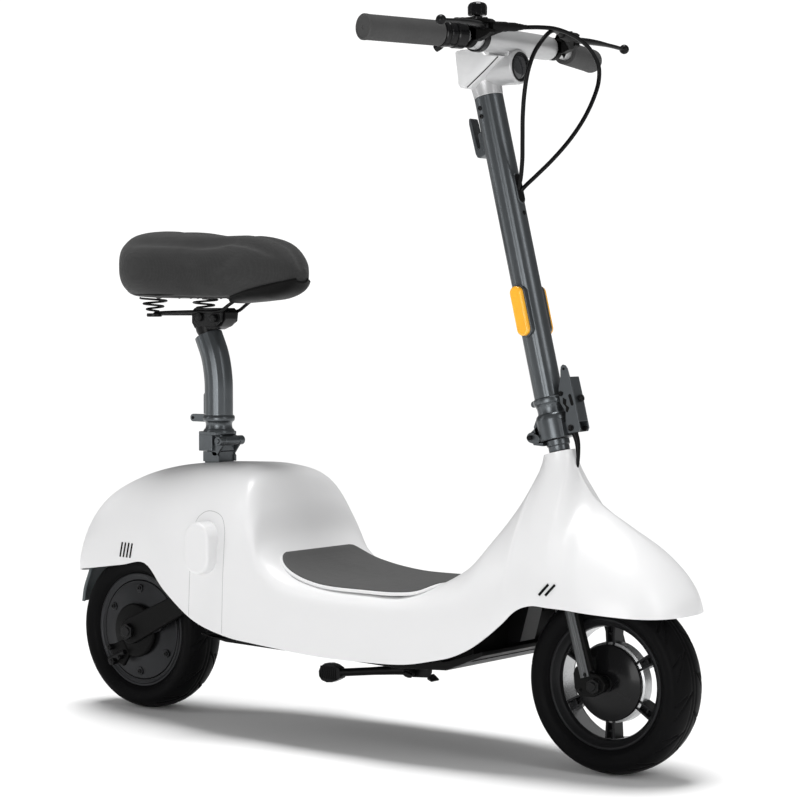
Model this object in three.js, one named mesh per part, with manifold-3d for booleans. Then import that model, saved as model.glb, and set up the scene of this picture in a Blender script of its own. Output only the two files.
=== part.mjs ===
// Seated step-through electric scooter: 10-inch wheels, moulded white body with a low deck,
// folding stem, folding seat post with a sprung saddle, rear hub motor on a swingarm.
// Millimetres. X forward, Y left, Z up. The outer group puts the origin on the ground
// under the middle of the scooter; inside it, X is counted from the rear axle.
import * as THREE from 'three';
import { mergeVertices } from 'three/addons/utils/BufferGeometryUtils.js';
import Module from 'manifold-3d';

const wasm = await Module();
wasm.setup();

// ---- Driving dimensions -------------------------------------------------------------------
const WHEEL_RADIUS = 127.5;
const TYRE_HALF_WIDTH = 37;
const WHEELBASE = 890;
const REAR_AXLE_TO_MIDDLE = 440;
const GAP = 0.3;
const RAKE = THREE.MathUtils.degToRad(13.9);
const NECK = { x: 797, z: 442 };            // where the steering axis leaves the body
const NECK_RADIUS = 23.3;
const SHELL_THICKNESS = 3;
const STEM_RADIUS = 20.7;
const STEM_TOP = 518;                        // along the steering axis, from the neck
const FOLD_AXIS = { u: -31, w: 28 };         // in the steering frame
const LATCH_AXIS = { u: 34, w: 28 };
const AXLE_HEIGHT = WHEEL_RADIUS;
const SWINGARM_PIVOT = { x: 165, z: 205 };
const BAR = { x: 711, z: 1020, bend: 112, end: 275 };
const BAR_SWEEP = THREE.MathUtils.degToRad(16);
const BAR_RADIUS = 11;
const BAR_SHROUD_RADIUS = 17.5;
const GRIP_RADIUS = 17.5;
const LEVER_PIVOT = [742, 104, 1031];
const LEVER_BALL = [757, 224, 1027];
const SEAT_AXIS = { x: 171, z: 437 };
const SEAT_POST_X = 148;
const SEAT_POST_RADIUS = 22.5;
const SADDLE_REAR = 2;
const SADDLE_NOSE = 321;
const KICKSTAND_PIVOT = [498, 40, 102];
const KICKSTAND_AXIS = new THREE.Vector3(0.1, -0.63, -0.77).normalize();

// ---- Solid helpers --------------------------------------------------------------------------

// A closed geometry as a solid: shared corners merged, slivers dropped, faces turned outward.
function solidOf(geometry) {
  const bare = geometry.clone();
  bare.deleteAttribute('normal');
  bare.deleteAttribute('uv');
  const merged = mergeVertices(bare, 1e-3);
  const corners = merged.attributes.position.array;
  const triangles = [];
  let volume = 0;
  for (let i = 0; i < merged.index.count; i += 3) {
    const [a, b, c] = [0, 1, 2].map((k) => merged.index.getX(i + k));
    if (a === b || b === c || c === a) continue;
    triangles.push([a, b, c]);
    const [p, q, r] = [a, b, c].map((v) => new THREE.Vector3().fromArray(corners, v * 3));
    volume += p.dot(q.cross(r));
  }
  const outward = volume > 0 ? triangles : triangles.map(([a, b, c]) => [a, c, b]);
  return new wasm.Manifold(new wasm.Mesh({
    numProp: 3,
    vertProperties: Float32Array.from(corners),
    triVerts: Uint32Array.from(outward.flat()),
  }));
}

function geometryOf(solid) {
  const mesh = solid.getMesh();
  const geometry = new THREE.BufferGeometry();
  const positions = new Float32Array(mesh.numVert * 3);
  for (let v = 0; v < mesh.numVert; v += 1) {
    for (let k = 0; k < 3; k += 1) positions[v * 3 + k] = mesh.vertProperties[v * mesh.numProp + k];
  }
  geometry.setAttribute('position', new THREE.BufferAttribute(positions, 3));
  geometry.setIndex([...mesh.triVerts]);
  geometry.computeVertexNormals();
  return geometry;
}

const union = (...solids) => solids.reduce((whole, next) => whole.add(next));
const cut = (solid, ...tools) => tools.reduce((rest, tool) => rest.subtract(tool), solid);
const largest = (solid) => solid.decompose()
  .reduce((best, piece) => (piece.volume() > best.volume() ? piece : best));

function block([x0, x1], [y0, y1], [z0, z1]) {
  const geometry = new THREE.BoxGeometry(x1 - x0, y1 - y0, z1 - z0);
  geometry.translate((x0 + x1) / 2, (y0 + y1) / 2, (z0 + z1) / 2);
  return solidOf(geometry);
}

// A round bar, or a cone, from one point to another.
function rod(from, to, radius, sides = 12, endRadius = radius) {
  const a = new THREE.Vector3(...from);
  const b = new THREE.Vector3(...to);
  const along = b.clone().sub(a);
  const geometry = new THREE.CylinderGeometry(endRadius, radius, along.length(), sides);
  geometry.applyQuaternion(new THREE.Quaternion().setFromUnitVectors(
    new THREE.Vector3(0, 1, 0), along.clone().normalize()));
  geometry.translate(...a.add(b).multiplyScalar(0.5).toArray());
  return solidOf(geometry);
}

function pipe(from, to, outer, inner, sides = 16) {
  const a = new THREE.Vector3(...from);
  const b = new THREE.Vector3(...to);
  const over = b.clone().sub(a).setLength(1);
  return rod(from, to, outer, sides)
    .subtract(rod(a.clone().sub(over).toArray(), b.clone().add(over).toArray(), inner, sides));
}

function ball(centre, radius) {
  const geometry = new THREE.SphereGeometry(radius, 10, 6);
  geometry.translate(...centre);
  return solidOf(geometry);
}

// A closed [radius, y] profile turned about the Y axis and moved to a centre.
function turned(profile, segments, centre) {
  const closed = [...profile, profile[0]].map(([r, y]) => new THREE.Vector2(r, y));
  const geometry = new THREE.LatheGeometry(closed, segments);
  geometry.translate(...centre);
  return solidOf(geometry);
}

// An [x, z] outline extruded along Y.
function plate(outline, [y0, y1]) {
  const shape = new THREE.Shape(outline.map(([x, z]) => new THREE.Vector2(x, z)));
  const geometry = new THREE.ExtrudeGeometry(shape, { depth: y1 - y0, bevelEnabled: false });
  geometry.rotateX(Math.PI / 2);
  geometry.translate(0, y1, 0);
  return solidOf(geometry);
}

// An [x, y] outline extruded along Z.
function slab(outline, [z0, z1]) {
  const shape = new THREE.Shape(outline.map(([x, y]) => new THREE.Vector2(x, y)));
  const geometry = new THREE.ExtrudeGeometry(shape, { depth: z1 - z0, bevelEnabled: false });
  geometry.translate(0, 0, z0);
  return solidOf(geometry);
}

// The outline round two circles, each given as [x, z, radius].
function linkOutline([x0, z0, r0], [x1, z1, r1], steps = 6) {
  const along = Math.atan2(z1 - z0, x1 - x0);
  const lean = Math.acos((r0 - r1) / Math.hypot(x1 - x0, z1 - z0));
  const outline = [];
  for (let i = 0; i <= steps; i += 1) {
    const angle = along + lean + (2 * (Math.PI - lean) * i) / steps;
    outline.push([x0 + r0 * Math.cos(angle), z0 + r0 * Math.sin(angle)]);
  }
  for (let i = 0; i <= steps; i += 1) {
    const angle = along - lean + (2 * lean * i) / steps;
    outline.push([x1 + r1 * Math.cos(angle), z1 + r1 * Math.sin(angle)]);
  }
  return outline;
}

function sweep(points, radius, sides, steps) {
  const path = new THREE.CatmullRomCurve3(points.map((p) => new THREE.Vector3(...p)));
  const shape = new THREE.Shape();
  for (let i = 0; i < sides; i += 1) {
    const angle = (2 * Math.PI * i) / sides;
    const corner = [radius * Math.cos(angle), radius * Math.sin(angle)];
    if (i === 0) shape.moveTo(...corner);
    else shape.lineTo(...corner);
  }
  return solidOf(new THREE.ExtrudeGeometry(shape, { steps, extrudePath: path, bevelEnabled: false }));
}

// Closed rings of equally many points, skinned side by side and capped at both ends.
function loft(rings) {
  const count = rings[0].length;
  const points = rings.flat();
  const index = [];
  for (let i = 0; i < rings.length - 1; i += 1) {
    for (let j = 0; j < count; j += 1) {
      const [a, b] = [i * count + j, i * count + ((j + 1) % count)];
      index.push(a, a + count, b, b, a + count, b + count);
    }
  }
  const last = (rings.length - 1) * count;
  for (let j = 1; j < count - 1; j += 1) {
    index.push(0, j, j + 1);
    index.push(last, last + j + 1, last + j);
  }
  const geometry = new THREE.BufferGeometry().setFromPoints(points);
  geometry.setIndex(index);
  return solidOf(geometry);
}

// ---- Materials ------------------------------------------------------------------------------
const finish = (color, roughness, metalness) =>
  new THREE.MeshStandardMaterial({ color, roughness, metalness });
const MATERIALS = {
  white: finish(0xf4f4f4, 0.22, 0),
  silver: finish(0xd9dadb, 0.35, 0.1),
  stemGrey: finish(0x5b656a, 0.45, 0.5),
  forkGrey: finish(0x3c3f41, 0.45, 0.6),
  mat: finish(0x646464, 0.85, 0),
  black: finish(0x161616, 0.5, 0),
  rubber: finish(0x1b1b1b, 0.8, 0),
  grip: finish(0x4a4a4a, 0.8, 0),
  rim: finish(0x202122, 0.4, 0.6),
  steel: finish(0x9a9c9e, 0.35, 0.9),
  amber: finish(0xf2a516, 0.3, 0),
  red: finish(0xa01212, 0.25, 0),
  lens: finish(0x26282a, 0.08, 0),
  flap: finish(0x3a4245, 0.6, 0),
  battery: finish(0x2c4d73, 0.6, 0),
  copper: finish(0xa8623a, 0.4, 0.8),
};

const scooter = new THREE.Group();
scooter.position.x = -REAR_AXLE_TO_MIDDLE;

// The steering frame: its origin is the neck, its Z runs up the steering axis.
const steering = new THREE.Group();
steering.position.set(NECK.x, 0, NECK.z);
steering.rotation.y = -RAKE;
scooter.add(steering);

function addPart(name, solid, material, group = scooter) {
  const mesh = new THREE.Mesh(geometryOf(solid), material);
  mesh.name = name;
  group.add(mesh);
}

// A point of the steering frame in the scooter's own axes.
function fromSteering(u, y, w) {
  return [
    NECK.x + u * Math.cos(RAKE) - w * Math.sin(RAKE),
    y,
    NECK.z + u * Math.sin(RAKE) + w * Math.cos(RAKE),
  ];
}

// ---- Body shell -----------------------------------------------------------------------------
// Each station is half a rib, from the lower edge (right side) over to the crown on the middle.
// [edge x, half width, edge z], [crown x, z], and how square the shoulder is: `lean` shapes
// the width and `rise` the height; 1 and 1 is a quarter ellipse, small values are boxy, and a
// large `lean` makes the hollow flank of the steering horn.
const RIBS = [
  { edge: [-106, 54, 221], crown: [-126, 216], lean: 0.9, rise: 0.9 },
  { edge: [-88, 66, 224], crown: [-114, 256], lean: 0.75, rise: 0.75 },
  { edge: [-60, 77, 227.5], crown: [-89, 306], lean: 0.68, rise: 0.68 },
  { edge: [-22, 89, 233], crown: [-45, 349], lean: 0.66, rise: 0.66 },
  { edge: [28, 98, 240], crown: [20, 379], lean: 0.66, rise: 0.66 },
  { edge: [88, 107, 247.5], crown: [82, 395], lean: 0.66, rise: 0.66 },
  { edge: [140, 118, 210], crown: [140, 402], lean: 0.66, rise: 0.66 },
  { edge: [210, 126, 169], crown: [206, 405], lean: 0.64, rise: 0.64 },
  { edge: [285, 132, 151], crown: [262, 404], lean: 0.58, rise: 0.58 },
  { edge: [330, 134, 147], crown: [296, 393], lean: 0.5, rise: 0.5 },
  { edge: [360, 135, 145], crown: [317, 352], lean: 0.42, rise: 0.42 },
  { edge: [395, 137, 143], crown: [336, 296], lean: 0.36, rise: 0.36 },
  { edge: [428, 138, 141], crown: [378, 258], lean: 0.3, rise: 0.3 },
  { edge: [470, 138, 139], crown: [450, 241.5], lean: 0.25, rise: 0.25 },
  { edge: [550, 138, 139], crown: [545, 238], lean: 0.24, rise: 0.24 },
  { edge: [625, 135, 142], crown: [615, 240.5], lean: 0.27, rise: 0.27 },
  { edge: [668, 130, 150], crown: [655, 258], lean: 0.45, rise: 0.42 },
  { edge: [700, 127, 158], crown: [692, 289], lean: 0.85, rise: 0.58 },
  { edge: [730, 123, 172], crown: [723, 335], lean: 1.15, rise: 0.72 },
  { edge: [757, 120, 191], crown: [750, 382], lean: 1.55, rise: 0.9 },
  { edge: [780, 116, 211], crown: 'rear of neck', lean: 2.2, rise: 0.95 },
  { edge: [800, 112, 230], crown: 'side of neck', lean: 3.2, rise: 0.93 },
  { edge: [824, 110, 238], crown: 'side of neck', lean: 3.8, rise: 0.9 },
  { edge: [850, 108, 237], crown: 'front of neck', lean: 3.1, rise: 0.9 },
  { edge: [876, 106, 236], crown: [834, 409], lean: 2.8, rise: 0.9 },
  { edge: [905, 103, 233.5], crown: [860, 377], lean: 1.9, rise: 0.9 },
  { edge: [938, 95, 231], crown: [900, 351], lean: 1.6, rise: 0.95 },
  { edge: [970, 83, 229], crown: [943, 323], lean: 1.25, rise: 0.93 },
  { edge: [994, 62, 228], crown: [981, 287], lean: 1, rise: 0.9 },
  { edge: [1005, 38, 227.5], crown: [1005, 252], lean: 0.9, rise: 0.9 },
  { edge: [1007, 26, 227.3], crown: [1011, 228], lean: 0.9, rise: 0.9 },
];
const NECK_REAR = RIBS.findIndex((rib) => rib.crown === 'rear of neck');
const NECK_FRONT = RIBS.findIndex((rib) => rib.crown === 'front of neck');
const COLUMNS = 6;

const curveOf = (points) => new THREE.CatmullRomCurve3(points.map((p) => new THREE.Vector3(...p)));
const edgeCurve = curveOf(RIBS.map((rib) => rib.edge));
const squareCurve = curveOf(RIBS.map((rib) => [rib.lean, rib.rise, 0]));
const neckEnd = (side) => fromSteering(side * NECK_RADIUS, 0, 0);
const rearCrown = curveOf([
  ...RIBS.slice(0, NECK_REAR).map((rib) => [rib.crown[0], 0, rib.crown[1]]), neckEnd(-1)]);
const frontCrown = curveOf([
  neckEnd(1), ...RIBS.slice(NECK_FRONT + 1).map((rib) => [rib.crown[0], 0, rib.crown[1]])]);

function crownAt(station) {
  if (station <= NECK_REAR) return rearCrown.getPoint(station / NECK_REAR).toArray();
  if (station >= NECK_FRONT) {
    return frontCrown.getPoint((station - NECK_FRONT) / (RIBS.length - 1 - NECK_FRONT)).toArray();
  }
  const turn = Math.PI * (1 - (station - NECK_REAR) / (NECK_FRONT - NECK_REAR));
  return fromSteering(NECK_RADIUS * Math.cos(turn), NECK_RADIUS * Math.sin(turn), 0);
}

// A point of the body surface: station along it, angle 0 at the lower edge and 90 at the crown.
function bodyPoint(station, angle) {
  const t = station / (RIBS.length - 1);
  const [edgeX, edgeY, edgeZ] = edgeCurve.getPoint(t).toArray();
  const [lean, rise] = squareCurve.getPoint(t).toArray();
  const [crownX, crownY, crownZ] = crownAt(station);
  const side = Math.max(0, Math.cos(angle)) ** lean;
  const up = Math.sin(angle) ** rise;
  const atCrown = angle >= Math.PI / 2 - 1e-9;
  return new THREE.Vector3(
    edgeX + (crownX - edgeX) * up,
    atCrown ? crownY : crownY + (edgeY - crownY) * side,
    edgeZ + (crownZ - edgeZ) * up,
  );
}

function bodySheet() {
  const rows = RIBS.length;
  const positions = [];
  const index = [];
  for (const side of [-1, 1]) {
    const base = positions.length / 3;
    for (let row = 0; row < rows; row += 1) {
      for (let column = 0; column <= COLUMNS; column += 1) {
        const point = bodyPoint(row, (Math.PI / 2) * (column / COLUMNS));
        positions.push(point.x, side * point.y, point.z);
      }
    }
    for (let row = 0; row < rows - 1; row += 1) {
      for (let column = 0; column < COLUMNS; column += 1) {
        const a = base + row * (COLUMNS + 1) + column;
        const b = a + COLUMNS + 1;
        const quad = side < 0 ? [a, b, a + 1, a + 1, b, b + 1] : [a, a + 1, b, a + 1, b + 1, b];
        index.push(...quad);
      }
    }
  }
  const geometry = new THREE.BufferGeometry();
  geometry.setAttribute('position', new THREE.Float32BufferAttribute(positions, 3));
  geometry.setIndex(index);
  return mergeVertices(geometry, 1e-3);
}

// The closed volume between two offsets of a sheet along its normals.
function thicken(sheet, outer, inner) {
  const skin = sheet.clone();
  skin.computeVertexNormals();
  const place = skin.attributes.position;
  const normal = skin.attributes.normal;
  const count = place.count;
  const positions = [];
  for (const offset of [outer, inner]) {
    for (let v = 0; v < count; v += 1) {
      const onMiddle = Math.abs(place.getY(v)) < 1e-6;
      positions.push(place.getX(v) + normal.getX(v) * offset);
      positions.push(onMiddle ? 0 : place.getY(v) + normal.getY(v) * offset);
      positions.push(place.getZ(v) + normal.getZ(v) * offset);
    }
  }
  const triangles = [...skin.index.array];
  const index = [];
  const border = new Map();
  for (let i = 0; i < triangles.length; i += 3) {
    const [a, b, c] = triangles.slice(i, i + 3);
    index.push(a, b, c, a + count, c + count, b + count);
    for (const [p, q] of [[a, b], [b, c], [c, a]]) {
      if (border.has(`${q},${p}`)) border.delete(`${q},${p}`);
      else border.set(`${p},${q}`, [p, q]);
    }
  }
  for (const [p, q] of border.values()) {
    index.push(q, p, p + count, q, p + count, q + count);
  }
  const geometry = new THREE.BufferGeometry();
  geometry.setAttribute('position', new THREE.Float32BufferAttribute(positions, 3));
  geometry.setIndex(index);
  return solidOf(geometry);
}

const sheet = bodySheet();
const DEEP = 14;
const shellCutter = thicken(sheet, GAP, -DEEP);
const shell = thicken(sheet, 0, -SHELL_THICKNESS);
const seatOpening = block([SEAT_POST_X - 19, SEAT_POST_X + 19], [-21, 21], [380, 440]);
addPart('body_shell', shell.subtract(seatOpening), MATERIALS.white);

// ---- Deck mat -------------------------------------------------------------------------------
const MAT = { rear: 351, front: 652, halfWidth: 119, top: 242.5 };
const matProfile = [[338, 300], [345, 288], [353, 279.5], [364, 270], [380, 261], [404, 253],
  [432, 247], [470, MAT.top], [600, MAT.top], [630, 246.5], [662, 264]];
const matOutline = [
  [MAT.rear, -80], [MAT.rear + 12, -96], [400, -108], [445, -117], [500, -MAT.halfWidth],
  [590, -MAT.halfWidth], [630, -112], [MAT.front, -92]];
const matBody = plate([...matProfile, ...matProfile.toReversed().map(([x, z]) => [x, z - 9])],
  [-140, 140]);
const matPlan = slab([...matOutline, ...matOutline.toReversed().map(([x, y]) => [x, -y])], [200, 320]);
addPart('deck_mat', largest(matBody.intersect(matPlan).subtract(shellCutter)), MATERIALS.mat);

// ---- Side bosses, tail light, mud flap --------------------------------------------------------
const BOSS = { x: 235, low: 268, high: 297, radius: 25, out: 148 };
for (const side of [-1, 1]) {
  const [inner, outer] = [100, BOSS.out];
  const span = side < 0 ? [-outer, -inner] : [inner, outer];
  const outline = linkOutline([BOSS.x, BOSS.low, BOSS.radius], [BOSS.x, BOSS.high, BOSS.radius], 12);
  addPart(side < 0 ? 'side_boss_right' : 'side_boss_left',
    largest(plate(outline, span).subtract(shellCutter)), MATERIALS.white);
}

const tailLight = block([-130, -80], [-30, 30], [282, 306])
  .intersect(thicken(sheet, 3.5, GAP));
addPart('tail_light', tailLight, MATERIALS.red);

const flapOutline = [[-110, 232], [-117, 222], [-134, 188], [-137.5, 163], [-134.5, 161],
  [-130.5, 188], [-113, 222], [-106, 232]];
addPart('mud_flap', largest(plate(flapOutline, [-31, 31]).subtract(shellCutter)), MATERIALS.flap);

// ---- Main frame -------------------------------------------------------------------------------
const TRAY = { rear: 300, front: 680, halfWidth: 95, low: 150, high: 227, wall: 3 };
const tray = cut(
  block([TRAY.rear, TRAY.front], [-TRAY.halfWidth, TRAY.halfWidth], [TRAY.low, TRAY.high]),
  block([TRAY.rear + TRAY.wall, TRAY.front - TRAY.wall],
    [TRAY.wall - TRAY.halfWidth, TRAY.halfWidth - TRAY.wall], [TRAY.low - 1, TRAY.high - TRAY.wall]));
const rearBox = plate([[188, 168], [301, 160], [301, 226], [230, 262], [150, 282], [108, 282],
  [108, 272], [146, 268], [188, 232]], [-34, 34]);
const pivotLug = (side) => plate(
  [[150, 192], [301, 170], [301, 222], [165, 222], [150, 216]],
  side < 0 ? [-60, -53] : [53, 60]);
const seatMast = rod([SEAT_POST_X, 0, 268], [SEAT_POST_X, 0, 396], 12);
const downTube = plate([[679, 156], [742, 172], [768, 262], [800, 330], [790, 400], [772, 396],
  [724, 300], [692, 240], [679, 227]], [-18, 18]);
const headTube = pipe(fromSteering(0, 0, -170), fromSteering(0, 0, -22), 19, 14.6);
const headBore = rod(fromSteering(0, 0, -180), fromSteering(0, 0, 10), 14.6, 18);
addPart('main_frame', cut(
  union(tray, rearBox, pivotLug(-1), pivotLug(1), seatMast, downTube, headTube),
  headBore,
  rod([SWINGARM_PIVOT.x, -70, SWINGARM_PIVOT.z], [SWINGARM_PIVOT.x, 70, SWINGARM_PIVOT.z], 5.3, 12),
), MATERIALS.black);

const bellyOutline = [[212, 147], [262, 139.5], [420, 136], [594, 131], [680, 136], [744, 162],
  [744, 168], [684, 149.6], [212, 149.6]];
addPart('belly_pan', cut(plate(bellyOutline, [-112, 112]),
  block([262, 672], [-106, 106], [140, 160])), MATERIALS.black);
addPart('battery_pack', block([330, 556], [-86, 86], [150.5, 218]), MATERIALS.battery);
addPart('motor_controller', block([572, 664], [-60, 60], [152, 196]), MATERIALS.steel);

const pivotBolt = union(
  rod([SWINGARM_PIVOT.x, -66, SWINGARM_PIVOT.z], [SWINGARM_PIVOT.x, 66, SWINGARM_PIVOT.z], 5, 12),
  rod([SWINGARM_PIVOT.x, -68, SWINGARM_PIVOT.z], [SWINGARM_PIVOT.x, -60.3, SWINGARM_PIVOT.z], 9, 6),
  rod([SWINGARM_PIVOT.x, 60.3, SWINGARM_PIVOT.z], [SWINGARM_PIVOT.x, 68, SWINGARM_PIVOT.z], 9, 6));
addPart('swingarm_pivot_bolt', pivotBolt, MATERIALS.steel);

for (const [name, low] of [['headset_bearing_lower', -169], ['headset_bearing_upper', -35]]) {
  addPart(name, pipe([0, 0, low], [0, 0, low + 12], 14.3, 11.6), MATERIALS.steel, steering);
}

// ---- Folding sockets: the stem's and the seat post's are built alike ----------------------------
function hingeEars(outline, inner, outer) {
  return union(plate(outline, [-outer, -inner]), plate(outline, [inner, outer]));
}

// Stem base, fixed on the fork's steerer.
const foldBore = (radius) => rod([FOLD_AXIS.u, -40, FOLD_AXIS.w], [FOLD_AXIS.u, 40, FOLD_AXIS.w],
  radius, 12);
const stemEars = hingeEars(
  linkOutline([FOLD_AXIS.u, FOLD_AXIS.w, 7.5], [-21, 11.5, 4.5]), 15.5, 22.5);
addPart('stem_base', cut(union(
  rod([0, 0, 4], [0, 0, 17.7], 17.7, 22),
  block([-22, 24], [-22.5, 22.5], [8, 17.7]),
  stemEars,
), foldBore(3.8)), MATERIALS.stemGrey, steering);
addPart('fold_hinge_pin', rod([FOLD_AXIS.u, -25, FOLD_AXIS.w], [FOLD_AXIS.u, 25, FOLD_AXIS.w], 3.5, 12),
  MATERIALS.steel, steering);

// Stem: socket collar, neck, bead and tube, with the cable slot in front.
const stemBore = rod([0, 0, 64], [0, 0, STEM_TOP + 1], 17.4, 18);
const SLOT = { low: 364, high: 392, half: 7.5 };
const cableSlot = union(
  block([5, 30], [-SLOT.half, SLOT.half], [SLOT.low, SLOT.high]),
  rod([5, 0, SLOT.low], [30, 0, SLOT.low], SLOT.half, 9),
  rod([5, 0, SLOT.high], [30, 0, SLOT.high], SLOT.half, 9));
const stemKnuckle = plate(linkOutline([FOLD_AXIS.u, FOLD_AXIS.w, 7.5], [-15, 36, 9]), [-15, 15]);
const latchLugs = union(...[-1, 1].map((side) => plate(
  linkOutline([LATCH_AXIS.u, LATCH_AXIS.w, 5], [18, 32, 9]), side < 0 ? [-8.5, -3.5] : [3.5, 8.5])));
addPart('stem_tube', cut(union(
  rod([0, 0, 18.2], [0, 0, 52], 24.5, 18),
  rod([0, 0, 51], [0, 0, 58], 24.5, 24, 20.4),
  rod([0, 0, 57], [0, 0, STEM_TOP], STEM_RADIUS, 18),
  rod([0, 0, 70], [0, 0, 78], 23.4, 18),
  stemKnuckle,
  latchLugs,
), stemBore, cableSlot, foldBore(3.8),
rod([LATCH_AXIS.u, -20, LATCH_AXIS.w], [LATCH_AXIS.u, 20, LATCH_AXIS.w], 2.8, 9)),
MATERIALS.stemGrey, steering);

// Fold latch: a channel lever in front of the collar, on a cross pin.
const latchOutline = [[25, 84], [25, 64], [30, 52], [27, 38], [27, 22], [46, 20], [49, 30],
  [48, 108], [45, 116], [39, 116], [35, 104], [29, 94]];
const latchInside = [[20, 10], [45.5, 10], [45.5, 100], [20, 100]];
addPart('fold_latch_lever', union(
  cut(plate(latchOutline, [-12, 12]), plate(latchInside, [-9.2, 9.2])),
  rod([LATCH_AXIS.u, -11, LATCH_AXIS.w], [LATCH_AXIS.u, 11, LATCH_AXIS.w], 2.5, 9),
  rod([48, 0, 66], [54, 0, 66], 4.5, 9),
), MATERIALS.stemGrey, steering);

// ---- Fork and front wheel -----------------------------------------------------------------------
addPart('fork_crown', union(
  block([-22, 22], [-54, 54], [-194, -177]),
  rod([0, 0, -180], [0, 0, 3.7], 11.3, 18),
), MATERIALS.forkGrey, steering);

const FORK_Y = 47;
for (const side of [-1, 1]) {
  const legTop = [843, side * FORK_Y, 244];
  const legLow = [874, side * FORK_Y, 138];
  const dropout = plate(linkOutline([869, 140, 15], [WHEELBASE, AXLE_HEIGHT, 15]),
    side < 0 ? [-50, -41] : [41, 50]);
  const lean = Math.atan2(legLow[0] - legTop[0], legTop[2] - legLow[2]);
  const leg = new THREE.BoxGeometry(14, 11, Math.hypot(legLow[0] - legTop[0], legTop[2] - legLow[2]));
  leg.rotateY(-lean);
  leg.translate((legTop[0] + legLow[0]) / 2, side * FORK_Y, (legTop[2] + legLow[2]) / 2);
  addPart(side < 0 ? 'fork_leg_right' : 'fork_leg_left', cut(
    union(solidOf(leg), dropout),
    rod([WHEELBASE, -60, AXLE_HEIGHT], [WHEELBASE, 60, AXLE_HEIGHT], 6.3, 12)), MATERIALS.forkGrey);
}

const axle = (x, radius, half, nutRadius, nutFrom) => union(
  rod([x, -half, AXLE_HEIGHT], [x, half, AXLE_HEIGHT], radius, 12),
  ...[-1, 1].map((side) => rod([x, side * nutFrom, AXLE_HEIGHT],
    [x, side * (nutFrom + 7), AXLE_HEIGHT], nutRadius, 6)));
addPart('front_axle', axle(WHEELBASE, 6, 60, 11, 50.3), MATERIALS.steel);

// Tyre section, open towards the rim: outside first, then the inner wall.
const tyreHalf = [[92, 20], [96, 29], [110, TYRE_HALF_WIDTH], [119, 33], [125.5, 19]];
const tyreProfile = [...tyreHalf.map(([r, y]) => [r, -y]), [WHEEL_RADIUS, 0],
  ...tyreHalf.toReversed(), [109, 28], [119, 0], [109, -28]];
const WHEEL_SEGMENTS = 24;
for (const [name, x] of [['rear_tyre', 0], ['front_tyre', WHEELBASE]]) {
  addPart(name, turned(tyreProfile, WHEEL_SEGMENTS, [x, 0, AXLE_HEIGHT]), MATERIALS.rubber);
}

const FRONT = [WHEELBASE, 0, AXLE_HEIGHT];
const rimRing = turned([[91.6, -25], [88, -19], [84, -10], [84, 10], [88, 19], [91.6, 25],
  [86, 26], [78, 12], [78, -12], [86, -26]], WHEEL_SEGMENTS, FRONT);
const rimHub = turned([[44, -15], [44, 17], [9, 19], [9, 8], [38, 8], [38, -15]], WHEEL_SEGMENTS, FRONT);
const SPOKES = 6;
const spokes = [];
for (let i = 0; i < SPOKES; i += 1) {
  const spoke = new THREE.BoxGeometry(38, 14, 13);
  spoke.translate(61, 0, 0);
  spoke.rotateY((2 * Math.PI * i) / SPOKES + Math.PI / 2);
  spoke.translate(...FRONT);
  spokes.push(solidOf(spoke));
}
addPart('front_rim', union(rimRing, rimHub, ...spokes), MATERIALS.rim);

// Drum brake plate, held by the fork, inside the hub's open right side.
addPart('brake_plate', cut(union(
  turned([[37.5, -21], [37.5, -16], [37, 4], [34, 4], [34, -16], [8, -16], [8, -22], [30, -24]],
    WHEEL_SEGMENTS, FRONT),
  plate(linkOutline([WHEELBASE + 22, AXLE_HEIGHT - 18, 5], [WHEELBASE + 34, AXLE_HEIGHT + 14, 4]),
    [-27, -20]),
), rod([WHEELBASE, -60, AXLE_HEIGHT], [WHEELBASE, 60, AXLE_HEIGHT], 7, 12)), MATERIALS.black);

// ---- Rear wheel, motor and swingarm ---------------------------------------------------------------
const REAR = [0, 0, AXLE_HEIGHT];
addPart('rear_rim', turned([[91.6, -25], [88, -19], [85, -8], [85, 8], [88, 19], [91.6, 25],
  [84, 27], [60, 27], [14.5, 30], [14.5, 26], [60, 22], [80, 20], [80, -25], [86, -26]],
WHEEL_SEGMENTS, REAR), MATERIALS.rim);
const coverScrews = [];
for (let i = 0; i < 6; i += 1) {
  const angle = (Math.PI * (i + 0.5)) / 3;
  const [x, z] = [66 * Math.cos(angle), AXLE_HEIGHT + 66 * Math.sin(angle)];
  coverScrews.push(rod([x, -29, z], [x, -23, z], 5, 10));
}
addPart('motor_cover', union(
  turned([[79.6, -19], [79.6, -25], [74, -26], [50, -29], [30, -32], [14.5, -33], [14.5, -28],
    [50, -23], [74, -19]], WHEEL_SEGMENTS, REAR), ...coverScrews), MATERIALS.rim);
addPart('motor_stator', turned([[70, -15], [70, 15], [8.4, 15], [8.4, -15]], 32, REAR),
  MATERIALS.copper);
addPart('rear_axle', axle(0, 8, 62, 13, 53.3), MATERIALS.steel);

const armOutline = linkOutline([0, AXLE_HEIGHT, 20], [SWINGARM_PIVOT.x, SWINGARM_PIVOT.z, 15]);
addPart('swingarm', cut(union(
  plate(armOutline, [-52.5, -41]),
  plate(armOutline, [41, 52.5]),
  rod([SWINGARM_PIVOT.x, -45, SWINGARM_PIVOT.z], [SWINGARM_PIVOT.x, 45, SWINGARM_PIVOT.z], 12, 14),
), rod([SWINGARM_PIVOT.x, -70, SWINGARM_PIVOT.z], [SWINGARM_PIVOT.x, 70, SWINGARM_PIVOT.z], 5.3, 12),
rod([0, -70, AXLE_HEIGHT], [0, 70, AXLE_HEIGHT], 8.3, 12)), MATERIALS.black);

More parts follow.
